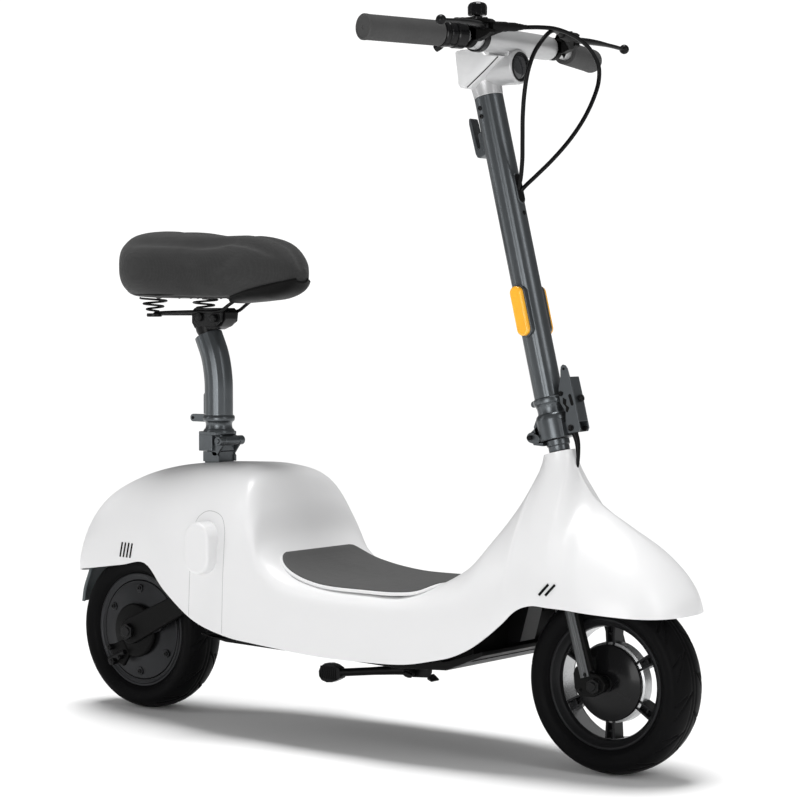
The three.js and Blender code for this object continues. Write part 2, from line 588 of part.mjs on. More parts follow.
// ---- Stem fittings ----------------------------------------------------------------------------------
for (const side of [-1, 1]) {
  const pill = plate(linkOutline([0, 178, 10.5], [0, 230, 10.5], 10),
    side < 0 ? [-33, -12] : [12, 33]);
  addPart(side < 0 ? 'reflector_right' : 'reflector_left',
    pill.subtract(rod([0, 0, 140], [0, 0, 270], STEM_RADIUS + GAP, 24)), MATERIALS.amber, steering);
}
const hookOutline = [[-16, 439], [-30, 436], [-35, 442], [-37, 492], [-34, 497], [-31.5, 492],
  [-30.5, 452], [-26, 449], [-25.5, 470], [-16, 473]];
addPart('bag_hook', plate(hookOutline, [-9, 9])
  .subtract(rod([0, 0, 400], [0, 0, 500], STEM_RADIUS + GAP, 24)), MATERIALS.stemGrey, steering);

// ---- Stem head, headlight, display ------------------------------------------------------------------
const HEAD = { z: 985, radius: 24.5, front: 727 };
const displayOutline = [[636, 1010], [644, 961], [650, 957], [664, 957], [716, 999], [690, 1001],
  [684, 1010]];
const displayRoom = [[630, 1012], [638, 957], [650, 956.6], [664.2, 956.6], [717, 999.3], [717, 1012]];
const neckTop = [NECK.x - (HEAD.z - NECK.z) * Math.tan(RAKE), 0, HEAD.z];
const barBore = rod([BAR.x, -60, BAR.z], [BAR.x, 60, BAR.z], BAR_SHROUD_RADIUS + GAP, 22);
addPart('stem_head', cut(
  union(
    rod(fromSteering(0, 0, STEM_TOP + GAP), neckTop, STEM_RADIUS, 22),
    rod(fromSteering(0, 0, STEM_TOP - 30), fromSteering(0, 0, STEM_TOP + 4), 17, 22),
    rod([660, 0, HEAD.z], [HEAD.front, 0, HEAD.z], HEAD.radius, 24),
    block([702, 724], [-20, 20], [985, 1012])),
  plate(displayRoom, [-37, 37]),
  barBore,
  rod([721, 0, HEAD.z], [740, 0, HEAD.z], 20, 22)), MATERIALS.silver);
addPart('headlight_lens', rod([721.3, 0, HEAD.z], [726, 0, HEAD.z], 19.7, 22), MATERIALS.lens);
addPart('display_unit', plate(displayOutline, [-35, 35]), MATERIALS.silver);

// ---- Handlebar ----------------------------------------------------------------------------------------
// A point of the swept bar's middle line: `out` is the distance from the scooter's middle.
function barPoint(out, side) {
  const back = Math.max(0, out - BAR.bend) * Math.tan(BAR_SWEEP);
  return [BAR.x - back, side * out, BAR.z];
}
const barHalf = (side) => rod(barPoint(BAR.bend, side), barPoint(BAR.end - 7, side), BAR_RADIUS, 18);
addPart('handlebar_tube', union(
  rod(barPoint(BAR.bend, -1), barPoint(BAR.bend, 1), BAR_RADIUS, 18),
  rod(barPoint(96, -1), barPoint(96, 1), BAR_SHROUD_RADIUS, 22),
  ball(barPoint(BAR.bend, -1), BAR_RADIUS),
  ball(barPoint(BAR.bend, 1), BAR_RADIUS),
  barHalf(-1),
  barHalf(1)), MATERIALS.silver);

const LEVER_THICKNESS = 8;
function mirrored(point, side) {
  return [point[0], side * point[1], point[2]];
}
for (const side of [-1, 1]) {
  const hand = side < 0 ? 'right' : 'left';
  addPart(`grip_${hand}`, cut(
    rod(barPoint(152, side), barPoint(BAR.end, side), GRIP_RADIUS, 22),
    rod(barPoint(150, side), barPoint(BAR.end - 6, side), BAR_RADIUS + GAP, 18)), MATERIALS.grip);

  // Brake mount: a band round the bar, an arm forward, the cable barrel and its adjuster.
  const band = pipe(barPoint(97.5, side), barPoint(109, side), 16.5, BAR_RADIUS + GAP);
  const arm = plate([[724, 1012], [752, 1020], [754, 1026.5], [736, 1026.5], [722, 1030]],
    side < 0 ? [-110, -97.5] : [97.5, 110]);
  const cap = plate([[722, 1034], [736, 1035.5], [754, 1035.5], [752, 1041], [722, 1038]],
    side < 0 ? [-110, -97.5] : [97.5, 110]);
  const spine = plate([[716, 1032], [724, 1012], [730, 1014], [730, 1040], [716, 1036]],
    side < 0 ? [-109, -97.5] : [97.5, 109]);
  const barrel = rod(mirrored([749, 92, 1031], side), mirrored([762, 52, 1033], side), 6.5, 10);
  const web = rod(mirrored([748, 99, 1022], side), mirrored([752, 84, 1030], side), 6, 9);
  const adjuster = rod(mirrored([760, 58, 1033], side), mirrored([765.5, 39, 1034], side), 4.6, 9);
  const [px, py, pz] = LEVER_PIVOT;
  addPart(`brake_mount_${hand}`, cut(union(band, arm, cap, spine, barrel, web, adjuster),
    rod(barPoint(90, side), barPoint(112, side), BAR_RADIUS + GAP, 18),
    rod(mirrored([px, py, 1026.6], side), mirrored([px, py, 1035.4], side), 6.8, 10)), MATERIALS.black);

  // Brake lever: an eye in the mount's slot, a tapering blade and a ball end.
  const [bx, by, bz] = LEVER_BALL;
  const eye = rod(mirrored([px, py, pz - LEVER_THICKNESS / 2], side),
    mirrored([px, py, pz + LEVER_THICKNESS / 2 - 0.2], side), 6, 12);
  const blade = rod(mirrored([px, py + 2, pz], side), mirrored(LEVER_BALL, side), 4, 10, 4.6);
  addPart(`brake_lever_${hand}`, union(eye, blade, ball([bx, side * by, bz], 7)), MATERIALS.black);
}

// Brake cables, whole from adjuster to the slot in the stem.
const CABLE_RADIUS = 2.5;
const cableRight = [[765.9, -37, 1034], [772, -16, 1035.5], [779, 12, 1035.5], [785, 42, 1030],
  [789, 70, 1020], [790, 92, 1006], [790, 106, 989], [789, 107, 968], [786, 98, 943],
  [779, 84, 914], [768, 65, 884], [754, 42, 855], [741, 19, 831], [730, 4.6, 814], [716, 3.1, 798]];
const cableLeft = [[765.9, 37, 1034], [771, 20, 1034.5], [775, 2, 1029.5], [775, -15, 1017],
  [771, -29, 998], [765, -35, 972], [758, -33, 944], [751, -27, 912], [745, -19, 880],
  [738, -10, 848], [729, -4.4, 818], [716, -3.1, 800]];
addPart('brake_cable_right', sweep(cableRight, CABLE_RADIUS, 8, 28), MATERIALS.black);
addPart('brake_cable_left', sweep(cableLeft, CABLE_RADIUS, 8, 22), MATERIALS.black);

// Throttle on the right, beside the brake mount.
addPart('throttle_housing', union(
  pipe(barPoint(114, -1), barPoint(131, -1), 19, BAR_RADIUS + GAP),
  cut(rod([712, -122, 1036], [712, -122, 1043], 9, 10),
    rod(barPoint(100, -1), barPoint(140, -1), 15, 14))), MATERIALS.black);
const paddleTab = rod([694, -136, 1010], [682, -138, 1002], 5, 10, 6);
addPart('throttle_paddle', cut(union(
  pipe(barPoint(132, -1), barPoint(142, -1), 17.5, BAR_RADIUS + GAP), paddleTab),
rod(barPoint(120, -1), barPoint(160, -1), BAR_RADIUS + GAP, 18)), MATERIALS.black);

// Bell on the bar shroud, with its striker.
const BELL = [711, -80];
const upright = (profile, segments, [x, y]) => {
  const closed = profile.map(([r, z]) => new THREE.Vector2(r, z));
  const geometry = new THREE.LatheGeometry(closed, segments);
  geometry.rotateX(Math.PI / 2);
  geometry.translate(x, y, 0);
  return solidOf(geometry);
};
addPart('bell_body', union(
  pipe([711, -86, BAR.z], [711, -74, BAR.z], 20.5, BAR_SHROUD_RADIUS + GAP, 22),
  upright([[0, 1038.5], [8, 1038.5], [8, 1044], [0, 1044]], 20, BELL),
  upright([[0, 1050], [12.5, 1050], [13.5, 1053], [13.5, 1062], [11, 1067], [6, 1069], [0, 1069]],
    24, BELL),
  rod([711, -80, 1040], [711, -80, 1052], 4, 9)), MATERIALS.black);
addPart('bell_lever', cut(union(
  rod([711, -80, 1044.4], [711, -80, 1049.6], 7.5, 12),
  block([676, 708], [-84, -76], [1045, 1049])),
rod([711, -80, 1040], [711, -80, 1056], 4.3, 12)), MATERIALS.black);

// ---- Kickstand ------------------------------------------------------------------------------------------
function onKickstandAxis(distance) {
  return new THREE.Vector3(...KICKSTAND_PIVOT).addScaledVector(KICKSTAND_AXIS, distance).toArray();
}
addPart('kickstand_bracket', union(
  block([472, 536], [34, 78], [126, 132.4]),
  rod(onKickstandAxis(-32), onKickstandAxis(-7.6), 9, 10),
  rod(onKickstandAxis(-20), onKickstandAxis(9.5), 4, 9),
  rod(onKickstandAxis(7.6), onKickstandAxis(10.5), 7.5, 9)), MATERIALS.black);
addPart('kickstand_leg', cut(union(
  rod(onKickstandAxis(-7.2), onKickstandAxis(7.2), 9.5, 12),
  rod([492, 40, 101.5], [360, 40, 84], 6.5, 12, 6),
  plate([[363, 96], [350, 98], [332, 95], [324, 86], [325, 74], [334, 68], [350, 70], [363, 76]],
    [33, 47])),
rod(onKickstandAxis(-12), onKickstandAxis(12), 4.4, 9)), MATERIALS.black);

// ---- Seat post -------------------------------------------------------------------------------------------
const SEAT_MAST_TOP = 396;
const seatBore = (radius) => rod([SEAT_AXIS.x, -50, SEAT_AXIS.z], [SEAT_AXIS.x, 50, SEAT_AXIS.z],
  radius, 12);
const seatEars = hingeEars(
  linkOutline([SEAT_AXIS.x, SEAT_AXIS.z, 6.5], [SEAT_POST_X + 13, 412, 5]), 17, 28);
addPart('seat_base', cut(union(
  block([SEAT_POST_X - 15, SEAT_POST_X + 16], [-19, 19], [SEAT_MAST_TOP + 12, 419.7]),
  block([SEAT_POST_X - 10, SEAT_POST_X + 18], [-28, 28], [412, 418]),
  pipe([SEAT_POST_X, 0, SEAT_MAST_TOP - 12], [SEAT_POST_X, 0, SEAT_MAST_TOP + 14], 18.5, 16.4),
  seatEars,
), seatBore(3.8),
rod([SEAT_POST_X, 0, SEAT_MAST_TOP - 20], [SEAT_POST_X, 0, SEAT_MAST_TOP + 5], 16.4, 14)),
MATERIALS.stemGrey);
addPart('seat_hinge_pin', rod([SEAT_AXIS.x, -30, SEAT_AXIS.z], [SEAT_AXIS.x, 30, SEAT_AXIS.z], 3.5, 12),
  MATERIALS.steel);

const postPath = [[SEAT_POST_X, 0, 462], [SEAT_POST_X, 0, 500], [SEAT_POST_X - 1, 0, 535],
  [SEAT_POST_X - 8, 0, 570], [126, 0, 602]];
const collarOutline = [[128, -25], [162, -25], [167, -20], [167, 20], [162, 25], [128, 25]];
const collarSlots = union(...[-1, 1].map((side) => block([158, 190],
  side < 0 ? [-30, -16.6] : [16.6, 30], [400, 447])));
const postKnuckle = plate(linkOutline([SEAT_AXIS.x, SEAT_AXIS.z, 6.5], [160, 440, 9]), [-16.3, 16.3]);
addPart('seat_post', cut(union(
  cut(slab(collarOutline, [420.3, 452]), collarSlots),
  rod([SEAT_POST_X, 0, 451], [SEAT_POST_X, 0, 459], 25, 20, 14),
  rod([SEAT_POST_X, 0, 455], [SEAT_POST_X, 0, 466], 20, 14),
  sweep(postPath, SEAT_POST_RADIUS, 16, 6),
  rod([SEAT_POST_X, 0, 467], [SEAT_POST_X, 0, 476], 24.6, 14),
  plate(linkOutline([126, 471, 6], [94, 471, 6]), [-4, 4]),
  postKnuckle,
), seatBore(3.8),
rod([94, -10, 471], [94, 10, 471], 3, 9),
sweep([[SEAT_POST_X, 0, 490], [SEAT_POST_X, 0, 512], [SEAT_POST_X - 1, 0, 535],
  [SEAT_POST_X - 8, 0, 570], [119, 0, 612]], 17.5, 12, 6)), MATERIALS.stemGrey);

addPart('seat_clamp', union(
  plate([[102, 641], [103, 620], [112, 611], [150, 611], [170, 622], [176, 638], [168, 646],
    [108, 646]], [-16, 16]),
  rod([124, 0, 606.5], [122, 0, 614], 15, 14),
  rod([160, -27, 628], [160, 27, 628], 6, 10)), MATERIALS.black);

// ---- Saddle ----------------------------------------------------------------------------------------------
const RAIL_RADIUS = 3.4;
const RAIL_FRONT = { x: 212, y: 17 };
const SPRING = { x: 64, y: 58, turns: 2.4, low: 640, high: 660.5, narrow: 10.5, wide: 20, wire: 2 };
const railHalf = (side) => sweep([[SPRING.x, side * SPRING.y, 636], [72, side * 50, 637.5],
  [92, side * 31, 638.5], [112, side * 21, 639], [150, side * 21, 639], [172, side * 21, 639.5],
  [189, side * 20, 648], [RAIL_FRONT.x, side * RAIL_FRONT.y, 660.5]], RAIL_RADIUS, 6, 12);
addPart('saddle_rails', union(railHalf(-1), railHalf(1),
  rod([SPRING.x, -SPRING.y, 635.5], [SPRING.x, SPRING.y, 635.5], RAIL_RADIUS, 8),
  ...[-1, 1].map((side) => rod([SPRING.x, side * SPRING.y, 631], [SPRING.x, side * SPRING.y, 637],
    13, 12))), MATERIALS.black);

for (const side of [-1, 1]) {
  const coil = [];
  const count = 24;
  for (let i = 0; i <= count; i += 1) {
    const t = i / count;
    const angle = 2 * Math.PI * SPRING.turns * t;
    const radius = SPRING.narrow + (SPRING.wide - SPRING.narrow) * t;
    coil.push([SPRING.x + radius * Math.cos(angle), side * (SPRING.y + radius * Math.sin(angle)),
      SPRING.low + (SPRING.high - SPRING.low) * t]);
  }
  addPart(side < 0 ? 'saddle_spring_right' : 'saddle_spring_left',
    sweep(coil, SPRING.wire, 5, count), MATERIALS.steel);
}

// Saddle sections from rear to nose: x, half width, top z, bottom z.
const SADDLE_SECTIONS = [
  [SADDLE_REAR, 36, 728, 690], [10, 70, 747, 670], [28, 96, 758, 659], [60, 113, 763, 653],
  [94, 113, 762, 652], [130, 98, 758, 652], [166, 75, 754, 653], [205, 56, 752, 656],
  [250, 47, 750, 661], [288, 41, 745, 665], [310, 29, 735, 674], [SADDLE_NOSE, 12, 722, 690]];
const SADDLE_POINTS = 16;
const saddleCurve = curveOf(SADDLE_SECTIONS.map(([x, half, top]) => [x, half, top]));
const saddleLow = curveOf(SADDLE_SECTIONS.map(([x, , , low]) => [x, low, 0]));
const SADDLE_ROWS = 13;
const saddleRings = [];
for (let i = 0; i <= SADDLE_ROWS; i += 1) {
  const [x, half, top] = saddleCurve.getPoint(i / SADDLE_ROWS).toArray();
  const low = saddleLow.getPoint(i / SADDLE_ROWS).y;
  const ring = [];
  for (let j = 0; j < SADDLE_POINTS; j += 1) {
    const angle = (2 * Math.PI * j) / SADDLE_POINTS;
    const [c, s] = [Math.cos(angle), Math.sin(angle)];
    const middle = low + (top - low) * 0.5;
    const tall = s > 0 ? top - middle : middle - low;
    ring.push(new THREE.Vector3(x, half * Math.sign(c) * Math.abs(c) ** 0.7,
      middle + tall * Math.sign(s) * Math.abs(s) ** 0.7));
  }
  saddleRings.push(ring);
}
const baseHalf = [[22, 36], [32, 62], [54, 80], [92, 78], [132, 60], [175, 38], [230, 24], [286, 20]];
const baseOutline = [...baseHalf.map(([x, y]) => [x, -y]), ...baseHalf.toReversed()];
const grown = baseOutline.map(([x, y]) => [x + (x < 100 ? -1 : 1), y + Math.sign(y)]);
addPart('saddle_cover', loft(saddleRings).subtract(slab(grown, [640, 673])), MATERIALS.black);
addPart('saddle_base', cut(slab(baseOutline, [665, 672.5]),
  ...[-1, 1].map((side) => rod([RAIL_FRONT.x, side * RAIL_FRONT.y, 655],
    [RAIL_FRONT.x, side * RAIL_FRONT.y, 668], 6, 9))), MATERIALS.black);

export default scooter;
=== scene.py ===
"""Looks of the seated electric scooter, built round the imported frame.

Sizes are written in millimetres from the rear axle (X forward, Y left, Z up) and turned into
the row frame's metres by at(). Points on the steering column use up_stem(), whose third number
runs up the steering axis from the neck of the body.
"""

import math

import bmesh
import bpy
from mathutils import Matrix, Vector
from mathutils.bvhtree import BVHTree


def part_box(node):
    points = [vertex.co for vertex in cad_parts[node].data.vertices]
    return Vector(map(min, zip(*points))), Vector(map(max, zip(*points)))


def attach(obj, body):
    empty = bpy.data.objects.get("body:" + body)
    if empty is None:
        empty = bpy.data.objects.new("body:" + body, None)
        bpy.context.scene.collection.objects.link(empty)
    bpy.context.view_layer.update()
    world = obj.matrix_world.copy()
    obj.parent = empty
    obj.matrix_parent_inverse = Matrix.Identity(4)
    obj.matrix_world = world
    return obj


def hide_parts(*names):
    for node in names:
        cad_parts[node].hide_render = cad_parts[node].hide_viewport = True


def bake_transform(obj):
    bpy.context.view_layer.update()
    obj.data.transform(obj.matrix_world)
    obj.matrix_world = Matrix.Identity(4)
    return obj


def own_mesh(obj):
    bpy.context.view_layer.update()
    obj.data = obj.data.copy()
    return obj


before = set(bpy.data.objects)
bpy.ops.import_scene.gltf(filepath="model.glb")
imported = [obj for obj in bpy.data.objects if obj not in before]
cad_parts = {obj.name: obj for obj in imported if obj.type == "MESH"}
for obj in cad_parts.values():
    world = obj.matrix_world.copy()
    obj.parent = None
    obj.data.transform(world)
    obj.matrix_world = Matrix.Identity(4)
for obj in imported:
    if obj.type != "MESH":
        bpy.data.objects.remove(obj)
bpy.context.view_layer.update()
scene = bpy.context.scene

MM = 0.001
REAR_AXLE_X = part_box("rear_axle")[0].x / 2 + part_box("rear_axle")[1].x / 2
RAKE = math.radians(13.9)
NECK_X, NECK_Z = 797, 442
NECK_RADIUS = 23.3
WHEELBASE = 890
AXLE_Z = 127.5
BAR_X, BAR_Z = 711, 1020
BAR_BEND = 112
BAR_SWEEP = math.radians(16)
BAR_END = 275
BAR_RADIUS = 11
STEM_RADIUS = 20.7
FOLD_PIN = (-31, 28)
LATCH_PIN = (34, 28)
HEADLIGHT_Z = 985
LEVER_PIVOT = (742, 104)
LEVER_BALL = (757, 224, 1027)
SWINGARM_PIVOT = (165, 205)
SEAT_HINGE = (171, 437)
SEAT_POST_X = 148
SPRING_X, SPRING_Y = 64, 58
SPRING_TURNS = 2.4
SPOKES = 6


def at(x, y, z):
    """A point given from the rear axle, as a vector in the row frame."""
    return Vector((REAR_AXLE_X + x * MM, y * MM, z * MM))


def up_stem(u, y, w):
    """A point of the steering column: u forward of its axis, w up it from the neck."""
    return at(NECK_X + u * math.cos(RAKE) - w * math.sin(RAKE), y,
        NECK_Z + u * math.sin(RAKE) + w * math.cos(RAKE))


def stem_side(a, b, h):
    """Side outlines on the steering column: a forward, b up the column, h across."""
    return up_stem(a, h, b)


def side(a, b, h):
    """Side outlines on the scooter: a forward, b up, h across."""
    return at(a, h, b)


def cross_at(x, z):
    """Turned pieces on a cross axis at (x, z), h to the left."""
    return lambda a, b, h: at(x + a, h, z + b)


def stem_cross(u, w):
    """Turned pieces on a cross axis of the steering column, h to the left."""
    return lambda a, b, h: up_stem(u + a, h, w + b)


def ahead_at(z):
    """Turned pieces that point forward on the middle line at height z, h forward."""
    return lambda a, b, h: at(h, a, z + b)


def stem_ahead(w):
    """Turned pieces that point forward from the steering column, h forward of its axis."""
    return lambda a, b, h: up_stem(h, b, w + a)


def upright_at(x, y, z=0):
    """Turned pieces that stand upright at (x, y), h up from z."""
    return lambda a, b, h: at(x + a, y + b, z + h)


def turned(place, turn):
    """A place turned round its own axis."""
    c, s = math.cos(turn), math.sin(turn)
    return lambda a, b, h: place(a * c - b * s, a * s + b * c, h)


SIDES = ((-1, "right"), (1, "left"))


def span(hand, near, far):
    """The two ends of a piece from near to far out on one hand's side, the lower first."""
    return sorted((hand * near, hand * far))


def along(start, end):
    """Turned pieces on the line from start to end, h in millimetres from start."""
    direction = (end - start).normalized()
    across = direction.cross(Vector((0, 0, 1)))
    if across.length < 0.1:
        across = direction.cross(Vector((0, 1, 0)))
    across.normalize()
    other = direction.cross(across)
    return lambda a, b, h: start + (across * a + other * b + direction * h) * MM


def on_bar(out, hand):
    """The middle of the swept handlebar, out from the scooter's middle; hand is -1 or 1."""
    back = max(0, out - BAR_BEND) * math.tan(BAR_SWEEP)
    return at(BAR_X - back, hand * out, BAR_Z)


# ---- Camera, light and floor -----------------------------------------------------------------

def put(name, data):
    """A new object with this data, in the scene."""
    thing = bpy.data.objects.new(name, data)
    scene.collection.objects.link(thing)
    return thing


def add_camera():
    camera = put("camera", bpy.data.cameras.new("camera"))
    camera.data.lens = 105.06
    camera.data.sensor_width = 36
    camera.location = (2.206, -2.709, 0.639)
    camera.rotation_euler = (math.radians(87.834), 0, math.radians(38.242))
    scene.camera = camera


def add_area_light(name, place, target, size, power):
    light = put(name, bpy.data.lights.new(name, "AREA"))
    light.data.shape = "RECTANGLE"
    light.data.size, light.data.size_y = size
    light.data.energy = power
    light.location = place
    light.rotation_euler = (Vector(target) - Vector(place)).to_track_quat("-Z", "Y").to_euler()


def add_lights():
    world = bpy.data.worlds.new("studio")
    world.use_nodes = True
    background = world.node_tree.nodes["Background"]
    background.inputs["Color"].default_value = (1, 1, 1, 1)
    path = world.node_tree.nodes.new("ShaderNodeLightPath")
    strength = world.node_tree.nodes.new("ShaderNodeMapRange")
    strength.inputs["To Min"].default_value = 0.24
    strength.inputs["To Max"].default_value = 1.1
    world.node_tree.links.new(path.outputs["Is Camera Ray"], strength.inputs["Value"])
    world.node_tree.links.new(strength.outputs["Result"], background.inputs["Strength"])
    scene.world = world
    sun = put("overhead", bpy.data.lights.new("overhead", "SUN"))
    sun.data.energy = 3.0
    sun.data.angle = math.radians(26)
    sun.rotation_euler = (math.radians(-4), math.radians(-5), 0)
    middle = (0.0, 0.0, 0.45)
    add_area_light("right_soft", (1.1, -3.2, 0.75), middle, (1.5, 1.5), 40)
    add_area_light("front_strip", (2.6, -0.2, 1.3), middle, (0.6, 1.8), 14)
    add_area_light("rear_strip", (-2.0, -1.6, 1.2), middle, (0.35, 1.8), 7)
    scene.view_settings.view_transform = "Standard"


def add_floor():
    look = Look("floor_paint", (0.92, 0.92, 0.92), 0.7, specular=0.1, share=0.004)
    mesh = bpy.data.meshes.new("floor")
    reach = 30
    mesh.from_pydata([(-reach, -reach, 0), (reach, -reach, 0), (reach, reach, 0),
        (-reach, reach, 0)], [], [(0, 1, 2, 3)])
    mesh.materials.append(look.material)
    put("floor", mesh)


# ---- Materials -------------------------------------------------------------------------------

class Look:
    """One procedural material, put together from a few kinds of surface detail."""

    def __init__(self, name, colour, roughness, metallic=0.0, specular=0.5, share=0.12, slot=None):
        self.slot = slot or name
        self.material = bpy.data.materials.new(name)
        self.material.use_nodes = True
        self.tree = self.material.node_tree
        self.shader = self.tree.nodes["Principled BSDF"]
        self.shader.inputs["Metallic"].default_value = metallic
        self.shader.inputs["Specular IOR Level"].default_value = specular
        self.where = self.node("ShaderNodeTexCoord").outputs["Object"]
        self.height = None
        self.mottle(colour, roughness, share)

    def node(self, kind, **values):
        node = self.tree.nodes.new(kind)
        for key, value in values.items():
            setattr(node, key, value)
        return node

    def link(self, start, end):
        self.tree.links.new(start, end)

    def noise(self, scale, detail=3.0, stretch=None):
        noise = self.node("ShaderNodeTexNoise")
        noise.inputs["Scale"].default_value = scale
        noise.inputs["Detail"].default_value = detail
        where = self.where
        if stretch:
            mapping = self.node("ShaderNodeMapping")
            mapping.inputs["Scale"].default_value = stretch
            self.link(where, mapping.inputs["Vector"])
            where = mapping.outputs["Vector"]
        self.link(where, noise.inputs["Vector"])
        return noise.outputs["Fac"]

    def mottle(self, colour, roughness, share, scale=22):
        """Slow variation of colour and gloss."""
        patches = self.noise(scale)
        mix = self.node("ShaderNodeMix", data_type="RGBA")
        mix.inputs["A"].default_value = (*[c * (1 - share) for c in colour], 1)
        mix.inputs["B"].default_value = (*[min(1, c * (1 + share)) for c in colour], 1)
        self.link(patches, mix.inputs["Factor"])
        self.link(mix.outputs["Result"], self.shader.inputs["Base Color"])
        self.colour_mix = mix
        spread = self.node("ShaderNodeMapRange")
        spread.inputs["To Min"].default_value = max(0.02, roughness * 0.85)
        spread.inputs["To Max"].default_value = min(1, roughness * 1.15)
        self.link(self.noise(scale * 3), spread.inputs["Value"])
        self.link(spread.outputs["Result"], self.shader.inputs["Roughness"])

    def bump(self, value, strength, distance=0.001):
        bump = self.node("ShaderNodeBump")
        bump.inputs["Strength"].default_value = strength
        bump.inputs["Distance"].default_value = distance
        self.link(value, bump.inputs["Height"])
        if self.height:
            self.link(self.height, bump.inputs["Normal"])
        self.height = bump.outputs["Normal"]
        self.link(self.height, self.shader.inputs["Normal"])
        return self

    def grain(self, scale, strength, stretch=None):
        """Fine moulded or cast grain; stretched, it is brushing or extrusion lines."""
        return self.bump(self.noise(scale, 4, stretch), strength)

    def dots(self, pitch, strength):
        """A knitted mesh of small raised dots, pitch in metres."""
        cells = self.node("ShaderNodeTexVoronoi")
        cells.inputs["Scale"].default_value = 1 / pitch
        cells.inputs["Randomness"].default_value = 0.25
        self.link(self.where, cells.inputs["Vector"])
        self.bump(cells.outputs["Distance"], strength, 0.0006)
        return cells.outputs["Distance"]

    def spin(self, amount):
        """Turned metal: highlights fan out from the wheel's axle."""
        tangent = self.node("ShaderNodeTangent", direction_type="RADIAL", axis="Y")
        self.shader.inputs["Anisotropic"].default_value = amount
        self.link(tangent.outputs["Tangent"], self.shader.inputs["Tangent"])
        return self

    def coat(self, weight, roughness=0.05):
        self.shader.inputs["Coat Weight"].default_value = weight
        self.shader.inputs["Coat Roughness"].default_value = roughness
        return self

    def sheen(self, weight, roughness=0.5):
        self.shader.inputs["Sheen Weight"].default_value = weight
        self.shader.inputs["Sheen Roughness"].default_value = roughness
        return self


def fabric_look():
    look = Look("saddle_fabric", (0.024, 0.024, 0.024), 0.85, specular=0.12)
    cells = look.dots(0.0021, 0.8)
    # The knit's colour is multiplied by the dots' cell distance, so it is darkest where the bump is
    # lowest: painted shade in the hollows.
    painted_hollow_shade = look.node("ShaderNodeMix", data_type="RGBA", blend_type="MULTIPLY")
    painted_hollow_shade.inputs["Factor"].default_value = 0.55
    look.link(look.colour_mix.outputs["Result"], painted_hollow_shade.inputs["A"])
    look.link(cells, painted_hollow_shade.inputs["B"])
    lift = look.node("ShaderNodeMix", data_type="RGBA", blend_type="ADD")
    lift.inputs["Factor"].default_value = 1
    lift.inputs["B"].default_value = (0.015, 0.015, 0.015, 1)
    look.link(painted_hollow_shade.outputs["Result"], lift.inputs["A"])
    look.link(lift.outputs["Result"], look.shader.inputs["Base Color"])
    return look.grain(1500, 0.25).sheen(0.1)


def amber_look():
    look = Look("amber_lens", (0.95, 0.44, 0.02), 0.16, slot="amber_reflector")
    look.dots(0.0032, 0.35)
    return look.coat(0.6)


WHITE = Look("white_plastic", (0.7, 0.7, 0.704), 0.36, share=0.012)
WHITE.grain(700, 0.012).coat(0.08, 0.2)
SILVER = Look("silver_paint", (0.41, 0.412, 0.416), 0.34, 0.35, share=0.03)
SILVER.grain(1400, 0.04).coat(0.1)
STEM_GREY = Look("stem_paint", (0.086, 0.094, 0.1), 0.3, 0.75, share=0.06)
STEM_GREY.grain(900, 0.05, (1, 1, 0.08))
FORK_GREY = Look("fork_paint", (0.075, 0.078, 0.08), 0.34, 0.5).grain(1200, 0.06)
MAT_GREY = Look("mat_rubber", (0.088, 0.088, 0.088), 0.85, specular=0.1, share=0.04)
MAT_GREY.grain(1800, 0.2)
GRIP_GREY = Look("grip_rubber", (0.056, 0.056, 0.056), 0.75, specular=0.15).grain(2200, 0.25)
TYRE = Look("tyre_rubber", (0.005, 0.005, 0.0053), 0.42, specular=0.025).grain(1300, 0.1)
RIM = Look("rim_alloy", (0.013, 0.0132, 0.014), 0.32, 0.3, 0.12).grain(1100, 0.05)
MACHINED = Look("machined_alloy", (0.42, 0.425, 0.43), 0.25, 0.9,
    slot="steel").grain(700, 0.06, (1, 6, 1)).spin(0.5)
MOTOR = Look("motor_cover_paint", (0.026, 0.0265, 0.028), 0.32, 0.75, 0.1,
    slot="rim_alloy").grain(1300, 0.05).spin(0.8)
BLACK = Look("black_plastic", (0.005, 0.005, 0.005), 0.45, specular=0.06).grain(1500, 0.12)
BLACK_METAL = Look("black_metal", (0.006, 0.006, 0.0063), 0.3, 0.1, 0.14).grain(1600, 0.1)
GLOSS_BLACK = Look("gloss_black", (0.005, 0.005, 0.0054), 0.2, specular=0.15)
GLOSS_BLACK.grain(600, 0.01).coat(0.06)
CABLE = Look("cable_sheath", (0.003, 0.003, 0.0033), 0.3, specular=0.1,
    slot="black_plastic").grain(2500, 0.08)
STEEL = Look("steel", (0.46, 0.46, 0.47), 0.3, 0.95).grain(1200, 0.05)
WEDGE = Look("display_paint", (0.6, 0.602, 0.606), 0.36, 0.1, share=0.02,
    slot="white_plastic").grain(1400, 0.04)
LENS = Look("dark_lens", (0.02, 0.021, 0.023), 0.1, 0.2).grain(300, 0.02).coat(0.5)
RED = Look("red_lens", (0.4, 0.006, 0.006), 0.15).grain(500, 0.04).coat(0.5)
FLAP = Look("flap_rubber", (0.06, 0.073, 0.077), 0.6).grain(1500, 0.12)
SEAM = Look("seam_shadow", (0.3, 0.3, 0.305), 0.6, slot="white_plastic").grain(900, 0.05)
FABRIC = fabric_look()
AMBER = amber_look()


# ---- Mesh building ---------------------------------------------------------------------------

